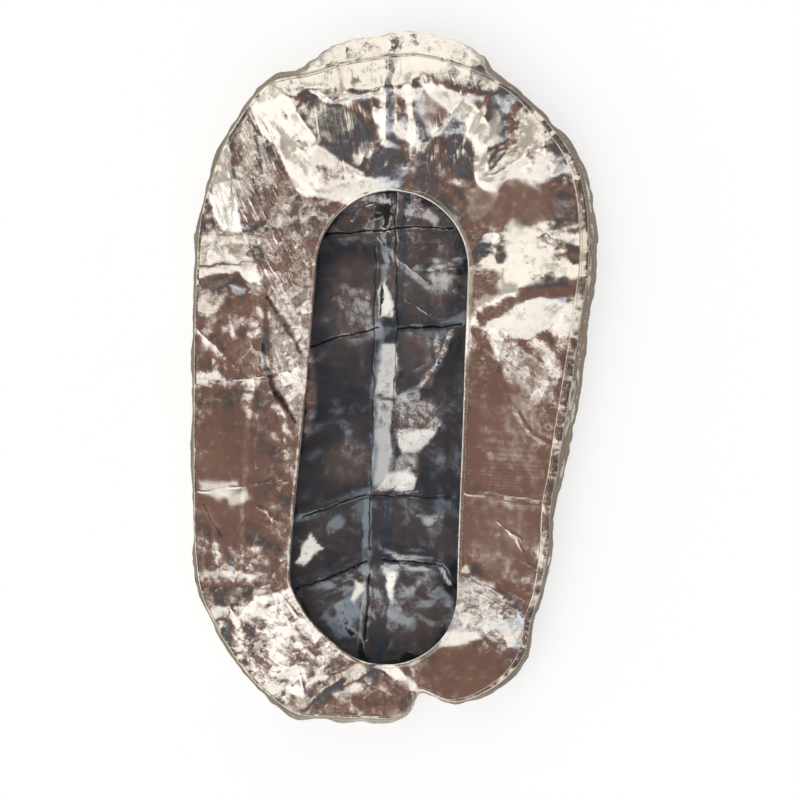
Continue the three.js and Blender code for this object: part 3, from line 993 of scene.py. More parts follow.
floorFacets = rowsOf(
    "part corners lean hold soft",
    ("head hollow", ((157, 645), (228, 508), (50, 465), (50, 510)), (0.07, 0.13)),
    ("head triangle", ((72, 740), (155, 668), (72, 575)), (0.02, 0.1)),
    ("swag hollow", ((-242, 704), (-150, 670), (-120, 560), (-190, 575)), (0.05, 0.18)),
    ("swag hollow", ((-150, 670), (-45, 694), (-50, 590), (-95, 512), (-120, 560)), (0.05, 0.18)),
    ("lip", ((-228, 716), (-150, 674), (-150, 702), (-205, 724)), (-0.05, 0.26)),
    ("lip", ((-150, 674), (-40, 699), (-40, 722), (-150, 702)), (-0.05, 0.26)),
    ("crown", ((-225, 738), (-40, 712), (85, 748), (205, 735), (150, 805), (-150, 805)), (-0.04, 0.3), 0.72,
     14),
    ("right crown", ((85, 790), (205, 772), (285, 705), (205, 690), (150, 706), (90, 745)), (-0.06, 0.28),
     0.65, 14),
    ("left shoulder", ((-352, 660), (-330, 600), (-262, 500), (-330, 470), (-385, 600)), (-0.19, 0.04),
     0.68, 14),
    ("left shoulder", ((-400, 620), (-352, 660), (-335, 600), (-350, 520), (-398, 510)), (-0.22, 0.05), 0.7,
     12),
    ("left shoulder", ((-398, 508), (-300, 540), (-252, 480), (-258, 372), (-385, 385)), (-0.22, 0.05), 0.7,
     14),
    ("right corner", ((270, 690), (360, 640), (450, 520), (385, 545), (300, 600)), (-0.1, 0.06), None, 14),
    ("star", ((232, 492), (310, 558), (378, 522), (378, 470)), (-0.04, -0.08)),
    ("left cream", ((-495, 365), (-325, 365), (-330, 275), (-495, 272)), (-0.03, 0.3), 0.5, 16),
    ("left sliver", ((-494, 272), (-330, 276), (-328, 252), (-494, 246)), (0, -0.34), 0.85),
    ("left shade", ((-495, 246), (-385, 250), (-362, 214), (-495, 205)), (0.08, 0.12), 0.85),
    ("left streaks", ((-494, 204), (-405, 200), (-446, 134), (-488, 144)), (-0.05, 0.26), 0.6, 10),
    ("left blue facet", ((-416, 222), (-360, 212), (-384, 184), (-402, 190)), (0.28, -0.22), 0.9),
    ("left band", ((-462, 136), (-360, 195), (-318, 215), (-318, 176), (-424, 126)), (0, 0), 0.85),
    ("left light", ((-436, 118), (-350, 152), (-352, 128), (-426, 90)), (-0.1, -0.26), 0.6, 9),
    ("left calm", ((-428, 84), (-332, 96), (-330, -4), (-412, 0)), (0, 0), 0.85, 9),
    ("left white facet", ((-488, 10), (-440, 16), (-420, -10), (-486, -22)), (-0.06, -0.28), 0.8, 9),
    ("above the opening", ((-298, 440), (-190, 445), (-160, 402), (-205, 327), (-272, 340)), (0.0, 0.1),
     0.6, 12),
    ("left of the opening", ((-332, 368), (-236, 366), (-205, 300), (-206, 222), (-318, 225)), (-0.2, 0.03),
     0.7, 14),
    ("beside the opening", ((-318, 225), (-206, 222), (-214, -20), (-240, -130), (-298, -30)), (-0.2, 0.02),
     0.88, 14),
    ("left packing facet", ((-482, -256), (-382, -254), (-378, -276), (-440, -300), (-484, -292)),
     (-0.07, -0.24), 0.7, 11),
    ("left packing facet", ((-432, -284), (-352, -280), (-346, -306), (-400, -326)), (-0.14, -0.14), 0.7,
     11),
    ("bulge", ((270, 372), (295, 386), (352, 360), (378, 315), (352, 240), (278, 235), (264, 315)),
     (-0.03, 0.34), 0.7, 12),
    ("bulge dint", ((238, 328), (262, 338), (278, 302), (270, 272), (246, 284)), (0.26, 0.08), 0.75, 14),
    ("below the dint", ((188, 288), (258, 268), (262, 205), (188, 172)), (-0.05, 0.03), 0.92, 12),
    ("brown band", ((198, 152), (278, 192), (365, 222), (365, 198), (206, 122)), (-0.05, 0), 0.9),
    ("brown band", ((365, 222), (478, 228), (478, 204), (365, 198)), (-0.05, 0), 0.9),
    ("below the band", ((215, 132), (340, 182), (378, 165), (365, 115), (335, 78), (265, 112)),
     (0.02, -0.3), 0.7, 9),
    ("below the band", ((335, 80), (380, 92), (415, 0), (400, -30)), (-0.18, -0.3), 0.6, 9),
    ("streaky slope", ((226, 108), (268, 114), (376, 12), (415, -66), (340, -62), (276, 8)), (-0.25, 0.03),
     0.82, 12),
    ("calm wedge", ((186, 118), (214, 112), (262, 10), (292, -70), (186, -75)), (-0.04, 0.02), 0.9),
    ("olive slope", ((282, -62), (366, -48), (404, -122), (384, -160)), (-0.13, -0.05), 0.75, 9),
    ("right edge facet", ((378, 440), (440, 445), (465, 395), (400, 385)), (0.26, -0.18), 0.6, 9),
    ("right edge facet", ((425, 330), (475, 325), (480, 285), (440, 275)), (0.24, -0.16), 0.6, 9),
    ("foot slope", ((-404, -578), (-256, -530), (-150, -664), (-180, -742), (-256, -800), (-345, -748),
     (-392, -660)), (-0.22, -0.08), 0.55, 16),
    ("foot grey strip", ((-406, -574), (-262, -528), (-258, -544), (-392, -592)), (-0.22, -0.1), 0.85),
    ("foot dark facet", ((-377, -607), (-356, -612), (-350, -650), (-372, -648)), (0.3, 0.12), 0.9),
    ("foot sliver", ((-256, -842), (-156, -742), (-86, -706), (-84, -732), (-180, -800)), (-0.05, 0.32),
     0.7),
    ("foot slit", ((-203, -811), (-156, -766), (-130, -752), (-130, -776), (-180, -816)), (0.34, 0.08),
     0.85),
    ("foot lobe", ((-191, -826), (-132, -800), (-50, -778), (39, -825), (36, -862), (-180, -858)),
     (0, 0.02), 0.8, 9),
    ("foot pleat", ((-44, -731), (21, -758), (50, -796), (39, -824), (-38, -784)), (-0.16, 0.06), 0.7),
    ("foot pale facet", ((155, -494), (252, -510), (340, -640), (334, -686), (142, -640)), (0.13, -0.2),
     0.82, 9),
    ("foot bright band", ((131, -642), (206, -640), (220, -657), (113, -680)), (-0.1, -0.34), 0.85),
    ("foot right calm", ((256, -508), (396, -548), (354, -645), (340, -638)), (0, 0), 0.85, 9),
    ("foot right lobe", ((40, -736), (125, -690), (216, -664), (304, -690), (264, -758), (184, -806),
     (130, -812), (52, -784)), (0.02, 0.03), 0.85, 9),
)


def floorCrumpled(x, y):
    return patchGain(*wander(x, y), floorPanel["patches"])


def floorHeight(at, x, y, reach):
    mouth = aroundRim(mouthRows, "reach", at)
    level = floorPanel["mouthHeight"]
    level = level + (aroundRim(rimRows, "top", at) - level) * smoothStep(reach, mouth, seamReach(at))
    calm = floorPanel["hemCalm"]
    quiet = calm + (1 - calm) * smoothStep(reach - mouth, *floorPanel["calmEnds"])
    level = level + foldRise(*wander(x, y), floorPanel["folds"])
    level = level + quiet * streakRise(x, y, floorPanel["streaks"])
    gathers = rimCrumple(alongRim(at), reach * floorPanel["gatherDraw"], floorPanel["gathers"])
    drawn = aroundRim(slackRows, "gather", at) * smoothStep(reach - mouth, *floorPanel["gatherEnds"])
    gain = floorCrumpled(x, y) * quiet
    level = level + gain * (crumple(x, y, floorPanel["octaves"]) + drawn * gathers)
    highest, roundOff = floorPanel["highest"], floorPanel["roundOff"]
    return np.where(level > highest, highest + roundOff * np.tanh((level - highest) / roundOff), level)


def floorPoint(at, reach):
    x, y = planPoint(at, reach)
    return x, y, floorHeight(at, x, y, reach)


def floorSurface(u, v):
    at = spreadColumns(u, floorPanel["columns"])
    mouth = aroundRim(mouthRows, "reach", at)
    row = np.rint(v * floorPanel["rows"]).astype(int)
    hem = np.minimum(row, floorPanel["hemRows"])
    spread = (row - floorPanel["hemRows"]) / (floorPanel["rows"] - floorPanel["hemRows"])
    uneven = 1 + floorPanel["hemUneven"] * rimCrumple(alongRim(at), at * 0, floorPanel["hemOctaves"])
    width = aroundRim(mouthRows, "hem", at) * uneven
    across = width * np.array(floorPanel["hemAcross"])[hem]
    across = across + np.clip(spread, 0, 1) * (seamReach(at) - mouth - across)
    below = np.array(floorPanel["hemBelow"])[hem] * floorPanel["hemDrop"]
    above = np.array(floorPanel["hemAbove"])[hem] * floorPanel["hemRoll"]
    x, y, z = floorPoint(at, mouth + across)
    return x, y, z - below + above * uneven


def makeFloorPanel():
    grid = sheetGrid(floorSurface, sum(floorPanel["columns"]), floorPanel["rows"])
    x, y = grid[..., 0], grid[..., 1]
    at = spreadColumns(np.linspace(0, 1, grid.shape[1]), floorPanel["columns"])
    onHem = np.arange(floorPanel["rows"] + 1)[:, None] < floorPanel["hemRows"]
    hemBand = onHem * np.interp(aroundRim(mouthRows, "hem", at), *floorPanel["hemShine"])
    streakPlace, streaked = streakPlaces(x, y, floorPanel["streaks"])
    crumpled = np.minimum(floorCrumpled(x, y), floorPanel["crumpledMost"])
    piece = wrappedSheet("floor_cloth", grid, floorPanel["thickness"], (silverFoil, paintedShadeFoil), {
        "hemBand": hemBand, "paintedHighlight": hemBand * 0, "streakPlace": streakPlace, "streaked": streaked,
        "leaning": facetLean(x, y, floorFacets), "crumpled": crumpled})
    print("floor panel:", len(piece.data.polygons), "faces")
    return piece, grid


# Shell: a lap under the floor panel, the shoulder, the slack wall and the back on the surface
shellCloth = {
    "columns": (240, 104, 150, 104),  # the same at left and right, so that the back meets on its spine
    "wallRows": 28,
    "backRows": 48,
    "lap": 20,
    "shoulder": 20,
    "seamDrop": 2.4,  # under the floor panel's top face
    "toeInset": 44,
    # the section's lower knots, in shares of the way to the outline, of the seam's height and of the toe
    "browOut": 0.75,
    "girthLevel": 0.5,
    "toeOut": 0.22,
    "toeLevel": 0.2,
    "thickness": 0.9,
    "steep": 72,  # the shoulder's pitch where the wall turns straight down, and where it is slack
    "slack": 12,
    "pitchInset": (8, 60),  # the seam's inset at these two
    "browDrop": ((30, 60), (0.4, 0.14)),  # by the inset of the seam, as are the crown's values below
    "slackGain": ((15, 60), (0.8, 1.15)),
    "crownCrumple": ((20, 60), (1.0, 1.7)),
    "crownHold": ((30, 60), (0, 0.76)),
    "crownLean": (-0.04, 0.3),  # the slack crown faces the light behind it
    "slackFrom": (1.0, 1.9),  # in spans of the section
    "slackUntil": 5.1,
    "spanLength": 32,
    "centreFold": dict(rise=5, top=18, foot=32),
    "backLevel": 5,
    "cove": 6,  # how far the back rises towards the walls
    "coveEnds": (-70, 40),
    "backFade": 70,
    "hiddenRows": 0.24,  # the back's rows lie closest where the opening shows them
    "shownMargin": 25,
    # the painted highlights are crumpled more
    "highlightCrumple": 2.2,
    "backFolds": rowsOf(
        "part start end rise left right",
        ("head crease", (-182, 352), (150, 372), 3, 40, 30),
        ("upper crease", (-235, 66), (-42, 126), 4, 50, 36),
        ("upper crease", (-42, 126), (170, 128), 4, 46, 36),
        ("upper slant crease", (8, 298), (76, 246), 2.5, 26, 16),
        ("upper crumple", (76, 262), (160, 280), 4, 24, 34),
        ("upper crumple", (90, 240), (150, 228), 3, 18, 20),
        ("curled crease", (148, 112), (108, 34), 2, 18, 50),
        ("curled crease", (108, 34), (62, -30), 2, 18, 50),
        ("middle streak", (-230, -120), (-70, -110), 4, 36, 40),
        ("lower crease", (-225, -345), (-72, -303), 3, 30, 36),
        ("lower crease", (-72, -303), (150, -308), 4, 26, 40),
        ("lower streak", (-30, -432), (95, -450), 4, 14, 14),
        ("foot crease", (-245, -538), (-72, -470), 4, 34, 28),
        ("foot crease", (-72, -470), (130, -480), 4, 30, 24),
        ("foot sweep", (20, -590), (120, -520), 6, 40, 40),
        ("long crease", (134, 345), (124, -480), 2, 40, 36),
        ("long crease", (-180, 330), (-226, -330), 2, 36, 40),
    ),
    # a facet's highlight lightens its colour to silver: a painted highlight
    "backFacets": rowsOf(
        "part corners lean bare hold soft",
        ("strip top", ((-40, 222), (-25, 242), (3, 180), (0, 145), (-40, 146)), (-0.3, -0.2), 0.75),
        ("strip middle", ((-38, 74), (8, 80), (3, -48), (-46, -48)), (-0.34, -0.1), 0.5),
        ("strip foot", ((-44, -56), (-6, -56), (-8, -255), (-54, -272)), (-0.25, -0.12), 0.38),
        ("band", ((-4, -130), (118, -122), (66, -190), (14, -200)), (-0.12, -0.3), 0.72),
        ("band", ((-22, -250), (30, -240), (57, -252), (50, -284), (-62, -290)), (-0.05, -0.3), 0.75),
        ("band", ((4, -40), (58, -36), (60, -58), (4, -62)), (-0.12, -0.2), 0.4),
        ("dull band", ((-8, -64), (96, -60), (114, -120), (-4, -128)), (-0.12, -0.1), 0.44, None, 9),
        ("dull band", ((14, -202), (66, -192), (58, -240), (-24, -248)), (-0.1, -0.1), 0.36, None, 9),
        ("curl", ((138, 114), (150, 108), (113, 30), (101, 36)), (-0.2, -0.2), 0.7, 0.7, 4),
        ("curl", ((101, 36), (113, 30), (72, -32), (60, -27)), (-0.2, -0.2), 0.7, 0.7, 4),
        ("lower left", ((-210, -402), (-176, -436), (-226, -482), (-248, -474)), (0.02, -0.36), 0.85, None,
         5),
        ("lower left light", ((-176, -386), (-132, -350), (-120, -372), (-160, -404)), (-0.08, -0.16)),
        ("lower right", ((62, -346), (124, -350), (92, -378)), (-0.02, -0.22), 0.4, None, 10),
        ("lower streak", ((-46, -434), (20, -446), (98, -448), (92, -460), (10, -456)), (-0.04, -0.3), 0.6),
        ("foot left shine", ((-215, -562), (-120, -524), (-76, -600), (-84, -665), (-150, -660)),
         (0.17, -0.13), None, None, 16),
        ("foot left", ((-94, -516), (-80, -526), (-100, -578), (-114, -572)), (-0.1, -0.34), 0.9, 0.8),
        ("foot centre", ((-34, -482), (10, -484), (2, -520), (-12, -578)), (-0.3, -0.16), 0.9),
        ("foot right", ((112, -480), (124, -478), (152, -528), (140, -532)), (-0.28, -0.2), 0.5),
        ("foot sweep", ((8, -566), (42, -530), (86, -492), (92, -506), (48, -554)), (-0.1, -0.24), 0.3, 0.7,
         10),
        ("foot arc", ((-30, -474), (16, -466), (16, -476), (-28, -485)), (0, -0.3), 0.5, None, 4),
        ("foot arc", ((16, -466), (88, -482), (84, -491), (16, -476)), (0, -0.3), 0.5, None, 4),
        ("foot fan", ((-150, -580), (-136, -574), (-92, -648), (-108, -655)), (-0.1, -0.24)),
        ("crumple", ((92, 304), (165, 292), (158, 268), (100, 278)), (-0.1, -0.2)),
        ("crumple", ((80, 266), (152, 246), (150, 228), (108, 228)), (-0.14, -0.14)),
        ("head light", ((26, 440), (112, 402), (104, 384), (34, 408)), (-0.1, -0.16)),
        ("navy side", ((112, 92), (168, 100), (160, -60), (76, -20)), (0.09, 0.04)),
        ("upper left light", ((-165, 240), (-60, 212), (-60, 130), (-120, 120)), (-0.1, -0.08)),
    ),
    "backPatches": rowsOf(
        "centre half gain",
        ((118, 262), (48, 30), 2.2),
        ((-18, 60), (28, 250), 1.3),
        ((-20, -540), (170, 110), 1.7),
        ((-60, 410), (120, 50), 1.8),
    ),
    # where the inside's painted shade is lifted to light silver: painted highlights
    "highlightPatches": rowsOf(
        "centre half gain",
        ((70, 262), (110, 120), 0.28),
        ((118, 262), (50, 34), 0.4),
        ((-105, 185), (90, 120), 0.3),
        ((-20, 400), (160, 70), 0.4),
        ((48, 60), (46, 64), 0.4),
        ((105, 70), (12, 40), 0.6),
        ((80, -10), (20, 26), 0.6),
        ((-226, -20), (26, 140), 0.6),
        ((-110, -215), (70, 60), 0.24),
        ((-60, -380), (210, 90), 0.05),
        ((-20, -570), (190, 110), 0.17),
    ),
    "backOctaves": octavesOf(
        (110, 3.0, 0.5, 31),
        (52, 1.5, 1.4, 32),
        (24, 0.7, 2.3, 33),
    ),
    "wallOctaves": octavesOf(
        (110, 4.5, 0.2, 41),
        (46, 3.4, 1.2, 42),
        (22, 2.3, 2.2, 43),
    ),
    "wallGathers": octavesOf(
        (46, 5.0, 0.0, 44),
        (20, 2.2, 0.2, 45),
    ),
}


def backHeight(x, y, reach, mouth, foot):
    wanderX, wanderY = wander(x, y)
    side = (wanderX - headCentre[0]) * spineRight[0] + (wanderY - headCentre[1]) * spineRight[1]
    fold = shellCloth["centreFold"]
    rise = fold["rise"] * np.clip((fold["foot"] - np.abs(side)) / (fold["foot"] - fold["top"]), 0, 1)
    rise = rise + foldRise(wanderX, wanderY, shellCloth["backFolds"])
    rise = rise + patchGain(x, y, shellCloth["backPatches"]) * crumple(x, y, shellCloth["backOctaves"])
    cove = shellCloth["cove"] * smoothStep(reach - mouth, *shellCloth["coveEnds"])
    fade = smoothStep(foot - reach, 0, shellCloth["backFade"])
    return np.maximum(rise + shellCloth["backLevel"] + cove, 0) * fade


# The wall's section round the rim, from the lap over the shoulder to its foot on the surface
def wallKnots(at):
    reach, seam, inset = aroundRim(rimRows, "reach", at), seamReach(at), aroundRim(rimRows, "inset", at)
    lapReach = seam - shellCloth["lap"]
    lapZ, edgeZ = (floorPoint(at, place)[2] - shellCloth["seamDrop"] for place in (lapReach, seam))
    pitch = np.interp(inset, shellCloth["pitchInset"], (shellCloth["steep"], shellCloth["slack"]))
    pitch = np.radians(pitch)
    shoulderReach = seam + shellCloth["shoulder"] * np.cos(pitch)
    shoulderZ = edgeZ - shellCloth["shoulder"] * np.sin(pitch)
    girthZ = edgeZ * shellCloth["girthLevel"]
    browZ = shoulderZ + (girthZ - shoulderZ) * np.interp(inset, *shellCloth["browDrop"])
    toe = shellCloth["toeInset"]
    return [
        (lapReach, lapZ),
        (seam, edgeZ),
        (shoulderReach, shoulderZ),
        (shoulderReach + (reach - shoulderReach) * shellCloth["browOut"], browZ),
        (reach, girthZ),
        (reach - toe * shellCloth["toeOut"], edgeZ * shellCloth["toeLevel"]),
        (reach - toe, edgeZ * 0),
    ]


wallSpans = 6  # from knot to knot
footEase = 0.2  # how far the section's curve aims past its foot, in shares of the last span


def wallPoint(at, t):
    knots = wallKnots(at)
    k = np.minimum(np.floor(t).astype(int), wallSpans - 1)
    f = t - k

    def onSection(part):
        line = [knot[part] for knot in knots]
        line = [2 * line[0] - line[1]] + line + [line[-1] - (line[-2] - line[-1]) * footEase]
        p0, p1, p2, p3 = (np.choose(k, [line[n + step] for n in range(wallSpans)]) for step in range(4))
        return 0.5 * (2 * p1 + (p2 - p0) * f + (2 * p0 - 5 * p1 + 4 * p2 - p3) * f * f
                      + (3 * p1 - p0 - 3 * p2 + p3) * f * f * f)

    return onSection(0), onSection(1)


# How far the slack cloth stands off its section, out along its own face
def wallSlack(at, t):
    along, down = alongRim(at), t * shellCloth["spanLength"]
    slack = smoothStep(t, *shellCloth["slackFrom"]) * (1 - smoothStep(t, shellCloth["slackUntil"], wallSpans))
    slack = slack * np.interp(aroundRim(rimRows, "inset", at), *shellCloth["slackGain"])
    push = rimCrumple(along, down, shellCloth["wallOctaves"])
    gathers = rimCrumple(along, down * floorPanel["gatherDraw"], shellCloth["wallGathers"])
    return slack * (push + aroundRim(slackRows, "gather", at) * gathers)


def pushedOut(x, y, z, push):
    normals = gridNormals(x, y, z)
    return x + normals[..., 0] * push, y + normals[..., 1] * push, z + normals[..., 2] * push


def shellSurface(u, v):
    at = spreadColumns(u, shellCloth["columns"])
    row = v * (shellCloth["wallRows"] + shellCloth["backRows"])
    t = np.clip(row / shellCloth["wallRows"], 0, 1) * wallSpans
    wallReach, wallZ = wallPoint(at, t)
    foot = aroundRim(rimRows, "reach", at) - shellCloth["toeInset"]
    mouth = aroundRim(mouthRows, "reach", at)
    inward = np.clip((row - shellCloth["wallRows"]) / shellCloth["backRows"], 0, 1)
    hidden, shown = shellCloth["hiddenRows"], mouth + shellCloth["shownMargin"]
    backReach = np.where(inward < hidden, foot + (shown - foot) * inward / hidden,
                         shown * (1 - (inward - hidden) / (1 - hidden)))
    onWall = row <= shellCloth["wallRows"]
    reach = np.where(onWall, wallReach, backReach)
    x, y = planPoint(at, reach)
    z = np.where(onWall, np.maximum(wallZ, 0), backHeight(x, y, reach, mouth, foot))
    x, y, z = pushedOut(x, y, z, wallSlack(at, t) * onWall)
    return x, y, np.maximum(z, 0)


def makeShell():
    wallRows = shellCloth["wallRows"]
    grid = sheetGrid(shellSurface, sum(shellCloth["columns"]), wallRows + shellCloth["backRows"])
    x, y = grid[..., 0], grid[..., 1]
    wandered, torn = wander(x, y), ragged(x, y)
    # painted highlights: patches and facets where the inside's painted shade is lifted to light silver
    bare = np.zeros_like(x)
    for patch in shellCloth["highlightPatches"]:
        bare = np.maximum(bare, patch["gain"] * patchShare(*wandered, patch))
    for facet in shellCloth["backFacets"]:
        bare = np.maximum(bare, facet.get("bare", 0) * facetShare(*torn, facet))
    at = spreadColumns(np.linspace(0, 1, grid.shape[1]), shellCloth["columns"])
    inset = aroundRim(rimRows, "inset", at)
    crumpled = np.interp(inset, *shellCloth["crownCrumple"]) + shellCloth["highlightCrumple"] * bare
    lean = facetLean(x, y, shellCloth["backFacets"])
    hold = np.interp(inset, *shellCloth["crownHold"])
    lean[:wallRows] = np.stack([hold * part for part in (*shellCloth["crownLean"], 1)], axis=-1)
    piece = wrappedSheet("shell_cloth", grid, shellCloth["thickness"], (silverFoil, paintedShadeFoil), {
        "hemBand": bare * 0, "paintedHighlight": bare, "crumpled": crumpled, "leaning": lean}, wallRows)
    print("shell:", len(piece.data.polygons), "faces")
    return piece


# Seam tape: over the panel's margin, round its edge and on to the shell's shoulder, puckered by its stitches
seamTape = {
    "columns": 1400,
    "rows": 12,
    "lift": 1.0,
    "crownLift": ((30, 60), (1.0, 0.5)),  # its share, by the inset of the seam
    "turn": 0.5,  # where the tape turns over the panel's edge, in shares of its rows
    "onShell": ((5, 16), (0.3, 1.0)),  # spans of the wall that it covers, by its width
    "stepEnd": 0.35,
    "thickness": 0.7,
    "puckerAcross": 5,
    "puckerBase": 1.2,
    "puckerFrom": 0.1,  # the tape's inner edge lies flat
    "puckerRound": 0.6,
    "puckers": octavesOf(
        (24, 1.7, 0.0, 61),
        (13, 0.9, 0.0, 62),
    ),
}


def tapeSurface(u, v):
    at = np.interp(u * rimLength[-1], rimLength, rimLoop)
    turn, width = seamTape["turn"], aroundRim(slackRows, "tape", at)
    overPanel = np.clip(v / turn, 0, 1)
    overShell = np.clip((v - turn) / (1 - turn), 0, 1)
    panelX, panelY, panelZ = floorPoint(at, seamReach(at) - width * (1 - overPanel))
    onShell = 1 + overShell * np.interp(width, *seamTape["onShell"])
    wallReach, wallZ = wallPoint(at, onShell)
    wallX, wallY = planPoint(at, wallReach)
    # the tape closes the step from the panel's top face down to the shell
    step = shellCloth["seamDrop"] * (1 - smoothStep(overShell, 0, seamTape["stepEnd"]))
    x = np.where(v <= turn, panelX, wallX)
    y = np.where(v <= turn, panelY, wallY)
    z = np.where(v <= turn, panelZ, wallZ + step)
    pucker = rimCrumple(alongRim(at), v * seamTape["puckerAcross"], seamTape["puckers"])
    pucker = np.maximum(0, pucker + seamTape["puckerBase"]) * aroundRim(slackRows, "pucker", at)
    bulge = np.clip(v * (1 + seamTape["puckerFrom"]) - seamTape["puckerFrom"], 0, 1)
    pucker = pucker * np.sin(math.pi * bulge) ** seamTape["puckerRound"]
    lift = seamTape["lift"] * np.interp(aroundRim(rimRows, "inset", at), *seamTape["crownLift"])
    return pushedOut(x, y, z, lift + pucker + wallSlack(at, onShell) * (v > turn))


def makeSeamTape():
    grid = sheetGrid(tapeSurface, seamTape["columns"], seamTape["rows"])
    piece = wrappedSheet("seam_tape_cloth", grid, seamTape["thickness"], (tapeFoil,),
                         {"crumpled": np.ones(grid.shape[:2])})
    print("seam tape:", len(piece.data.polygons), "faces")
    return piece, grid


# Stitches: small roofs of thread, in rows along the tape and the hem, joined in one mesh
stitching = {
    "pitch": 9.0,
    "length": 6.0,
    "width": 1.3,
    "rise": 0.9,
    "sunk": -0.2,
    "tapeRows": (2, 10),
    "wideTape": 13,  # the seam's thread shows only where the tape lies wider
    "hemRow": 8,
}


def stitchRow(points, normals, shown):
    steps = np.linalg.norm(np.diff(points, axis=0), axis=1)
    places = np.concatenate(((0,), np.cumsum(steps)))
    middles = np.arange(stitching["pitch"] / 2, places[-1], stitching["pitch"])
    middles = middles[np.interp(middles, places, shown) > 0.5]

    def at(values, offset):
        spots = np.mod(middles + offset, places[-1])
        return np.stack([np.interp(spots, places, part) for part in values.T], axis=1)

    half = stitching["length"] / 2
    middle, up = at(points, 0), at(normals, 0)
    ahead = at(points, half) - at(points, -half)
    ahead /= np.linalg.norm(ahead, axis=1, keepdims=True)
    aside = np.cross(up, ahead)
    corners = []
    for end in (-half, half):
        for side, rise in ((-0.5, stitching["sunk"]), (0.5, stitching["sunk"]), (0, stitching["rise"])):
            corners.append(middle + ahead * end + aside * side * stitching["width"] + up * rise)
    return np.stack(corners, axis=1).reshape(-1, 3)


def makeStitches(floorGrid, tapeGrid):
    at = np.interp(np.linspace(0, rimLength[-1], tapeGrid.shape[1]), rimLength, rimLoop)
    onTape = aroundRim(slackRows, "tape", at) > stitching["wideTape"]
    onHem = np.ones(floorGrid.shape[1])
    rows = [(tapeGrid, row, onTape) for row in stitching["tapeRows"]]
    rows.append((floorGrid, stitching["hemRow"], onHem))
    corners = []
    for grid, row, shown in rows:
        normals = gridNormals(grid[..., 0], grid[..., 1], grid[..., 2])
        corners.append(stitchRow(grid[row], normals[row], shown))
    corners = np.concatenate(corners)
    stitchCorners = 6
    sides = ((0, 2, 1), (3, 4, 5), (0, 1, 4, 3), (1, 2, 5, 4), (2, 0, 3, 5))
    faces = [[first + i for i in side] for first in range(0, len(corners), stitchCorners) for side in sides]
    mesh = bpy.data.meshes.new("seam_stitches")
    mesh.from_pydata((corners * mm).tolist(), [], faces)
    mesh.materials.append(paleThread)
    piece = bpy.data.objects.new("seam_stitches", mesh)
    bpy.context.collection.objects.link(piece)
    print("stitches:", len(corners) // stitchCorners)
    return piece


# Scene: a pale floor, a studio sky and the camera straight above
studio = {
    "floorSize": 14,
    "floorTint": (0.64, 0.65, 0.66),
    "floorGlow": 0.92,
    "floorRoughness": 0.9,
    # what the foil mirrors of the floor, from the left of the bag to its right, over a metre
    "floorInFoilLeft": 0.5,
    "floorInFoil": [
        (0.0, (0.36, 0.33, 0.26)),
        (0.2, (0.40, 0.36, 0.29)),
        (0.42, (0.72, 0.68, 0.60)),
        (0.6, (0.66, 0.61, 0.53)),
        (0.8, (0.36, 0.30, 0.26)),
        (1.0, (0.29, 0.235, 0.20)),
    ],
    "floorShade": (0.24, 0.21, 0.17),
    "floorHazeScale": 26.0,
    "cameraHeight": 5.1,
    "cameraPlace": (0.015, -0.06),
    "viewWidth": 2.0,  # metres across the picture at the bag's widest line
    "viewLevel": 0.06,
    # from the zenith down to the horizon
    "skyStops": [
        (0.0, (0.21, 0.112, 0.083)),
        (0.17, (0.21, 0.114, 0.087)),
        (0.28, (0.33, 0.26, 0.225)),
        (0.42, (0.50, 0.46, 0.41)),
        (0.62, (0.50, 0.46, 0.39)),
        (0.84, (0.50, 0.47, 0.39)),
        (0.95, (0.78, 0.77, 0.74)),
        (1.0, (0.86, 0.86, 0.85)),
    ],
    "softBoxes": rowsOf(
        "azimuth elevation half soft colour",
        (100, 44, 25, 11, (1.15, 1.09, 0.98)),
        (212, 46, 25, 11, (1.32, 1.26, 1.20)),
        (275, 46, 19, 10, (1.10, 1.06, 1.00)),
        (325, 46, 13, 10, (0.86, 0.92, 1.02)),
        (45, 63, 17, 12, (0.08, 0.07, 0.07)),
        (8, 44, 22, 15, (0.10, 0.10, 0.12)),
    ),
}


def rampColour(tree, factor, stops):
    ramp = tree.nodes.new("ShaderNodeValToRGB")
    feed(tree, ramp.inputs["Fac"], factor)
    while len(ramp.color_ramp.elements) < len(stops):
        ramp.color_ramp.elements.new(0.5)
    for element, (position, colour) in zip(ramp.color_ramp.elements, stops):
        element.position = position
        element.color = (*colour, 1)
    return ramp.outputs["Color"]


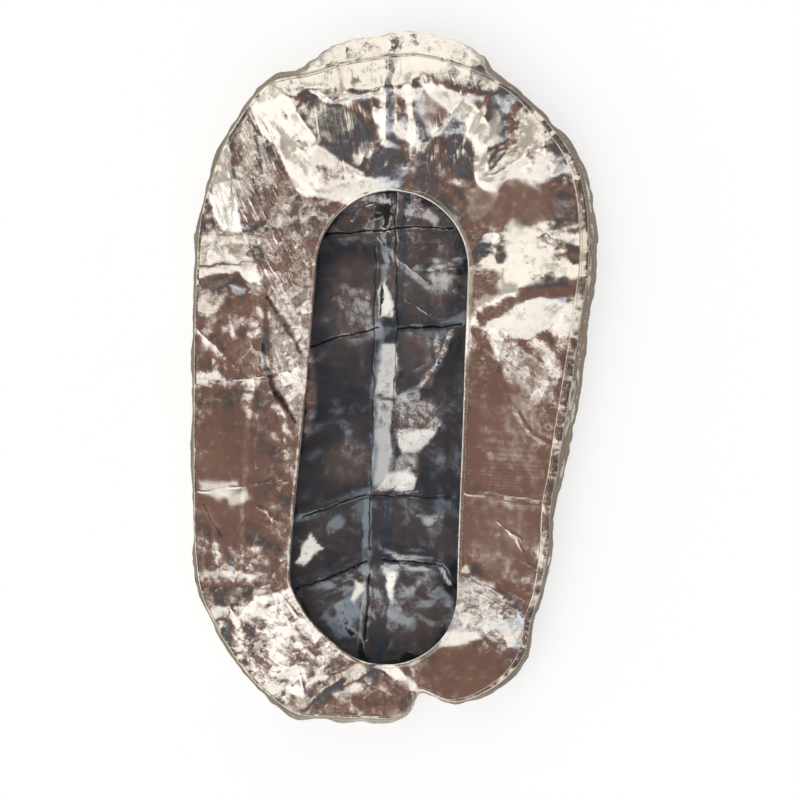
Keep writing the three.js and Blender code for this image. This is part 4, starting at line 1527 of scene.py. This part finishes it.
def makeFloor():
    bpy.ops.object.select_all(action="DESELECT")
    bpy.ops.mesh.primitive_plane_add(size=studio["floorSize"])
    floor = bpy.context.object
    floor.name = "studio_floor"
    material, tree, shader = newMaterial("paleFloor")
    for name in ("Base Color", "Emission Color"):
        shader.inputs[name].default_value = (*studio["floorTint"], 1)
    shader.inputs["Roughness"].default_value = studio["floorRoughness"]
    shader.inputs["Emission Strength"].default_value = studio["floorGlow"]
    # the foil mirrors a dimmer floor than the one in the picture, so that its edge stands out
    place = tree.nodes.new("ShaderNodeTexCoord").outputs["Object"]
    split = tree.nodes.new("ShaderNodeSeparateXYZ")
    feed(tree, split.inputs[0], place)
    fromLeft = mathNode(tree, "ADD", split.outputs["X"], studio["floorInFoilLeft"])
    tone = rampColour(tree, fromLeft, studio["floorInFoil"])
    haze = placed(tree, dustGroup, Vector=place, Scale=studio["floorHazeScale"])["Mask"]
    dim = tree.nodes.new("ShaderNodeEmission")
    feed(tree, dim.inputs["Color"], mixedColour(tree, haze, tone, studio["floorShade"]))
    choose = tree.nodes.new("ShaderNodeMixShader")
    feed(tree, choose.inputs["Fac"], tree.nodes.new("ShaderNodeLightPath").outputs["Is Glossy Ray"])
    feed(tree, choose.inputs[1], shader.outputs["BSDF"])
    feed(tree, choose.inputs[2], dim.outputs["Emission"])
    feed(tree, tree.nodes["Material Output"].inputs["Surface"], choose.outputs["Shader"])
    floor.data.materials.append(material)


def makeSky():
    world = bpy.data.worlds.new("studioSky")
    world.use_nodes = True
    bpy.context.scene.world = world
    tree = world.node_tree
    direction = tree.nodes.new("ShaderNodeTexCoord").outputs["Generated"]
    split = tree.nodes.new("ShaderNodeSeparateXYZ")
    feed(tree, split.inputs[0], direction)
    fromZenith = mathNode(tree, "DIVIDE", mathNode(tree, "ARCCOSINE", split.outputs["Z"]), math.pi / 2)
    colour = rampColour(tree, fromZenith, studio["skyStops"])
    for box in studio["softBoxes"]:
        azimuth, elevation, half, soft = (
            math.radians(box[name]) for name in ("azimuth", "elevation", "half", "soft"))
        level = math.cos(elevation)
        axis = (math.cos(azimuth) * level, math.sin(azimuth) * level, math.sin(elevation))
        facing = dotNode(tree, direction, axis)
        edge = rangeNode(tree, facing, math.cos(half + soft), math.cos(half - soft))
        edge.node.interpolation_type = "SMOOTHSTEP"
        colour = mixedColour(tree, edge, colour, box["colour"])
    feed(tree, tree.nodes["Background"].inputs["Color"], colour)


def makeCamera():
    camera = bpy.data.cameras.new("above")
    cameraObject = bpy.data.objects.new("above", camera)
    bpy.context.collection.objects.link(cameraObject)
    cameraObject.location = (*studio["cameraPlace"], studio["cameraHeight"])
    camera.lens = camera.sensor_width * (studio["cameraHeight"] - studio["viewLevel"]) / studio["viewWidth"]
    bpy.context.scene.camera = cameraObject
    bpy.context.scene.view_settings.view_transform = "Standard"


makeFloor()
makeSky()
makeCamera()
print("studio ready")

floorCloth, floorGrid = makeFloorPanel()
shell = makeShell()
tape, tapeGrid = makeSeamTape()
stitches = makeStitches(floorGrid, tapeGrid)

for piece, node, slot in ((floorCloth, "floor_panel", "floor_foil"), (shell, "shell", "shell_foil"),
                          (tape, "seam_tape", "tape_foil")):
    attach(piece, "root")
    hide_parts(node)
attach(stitches, "root")
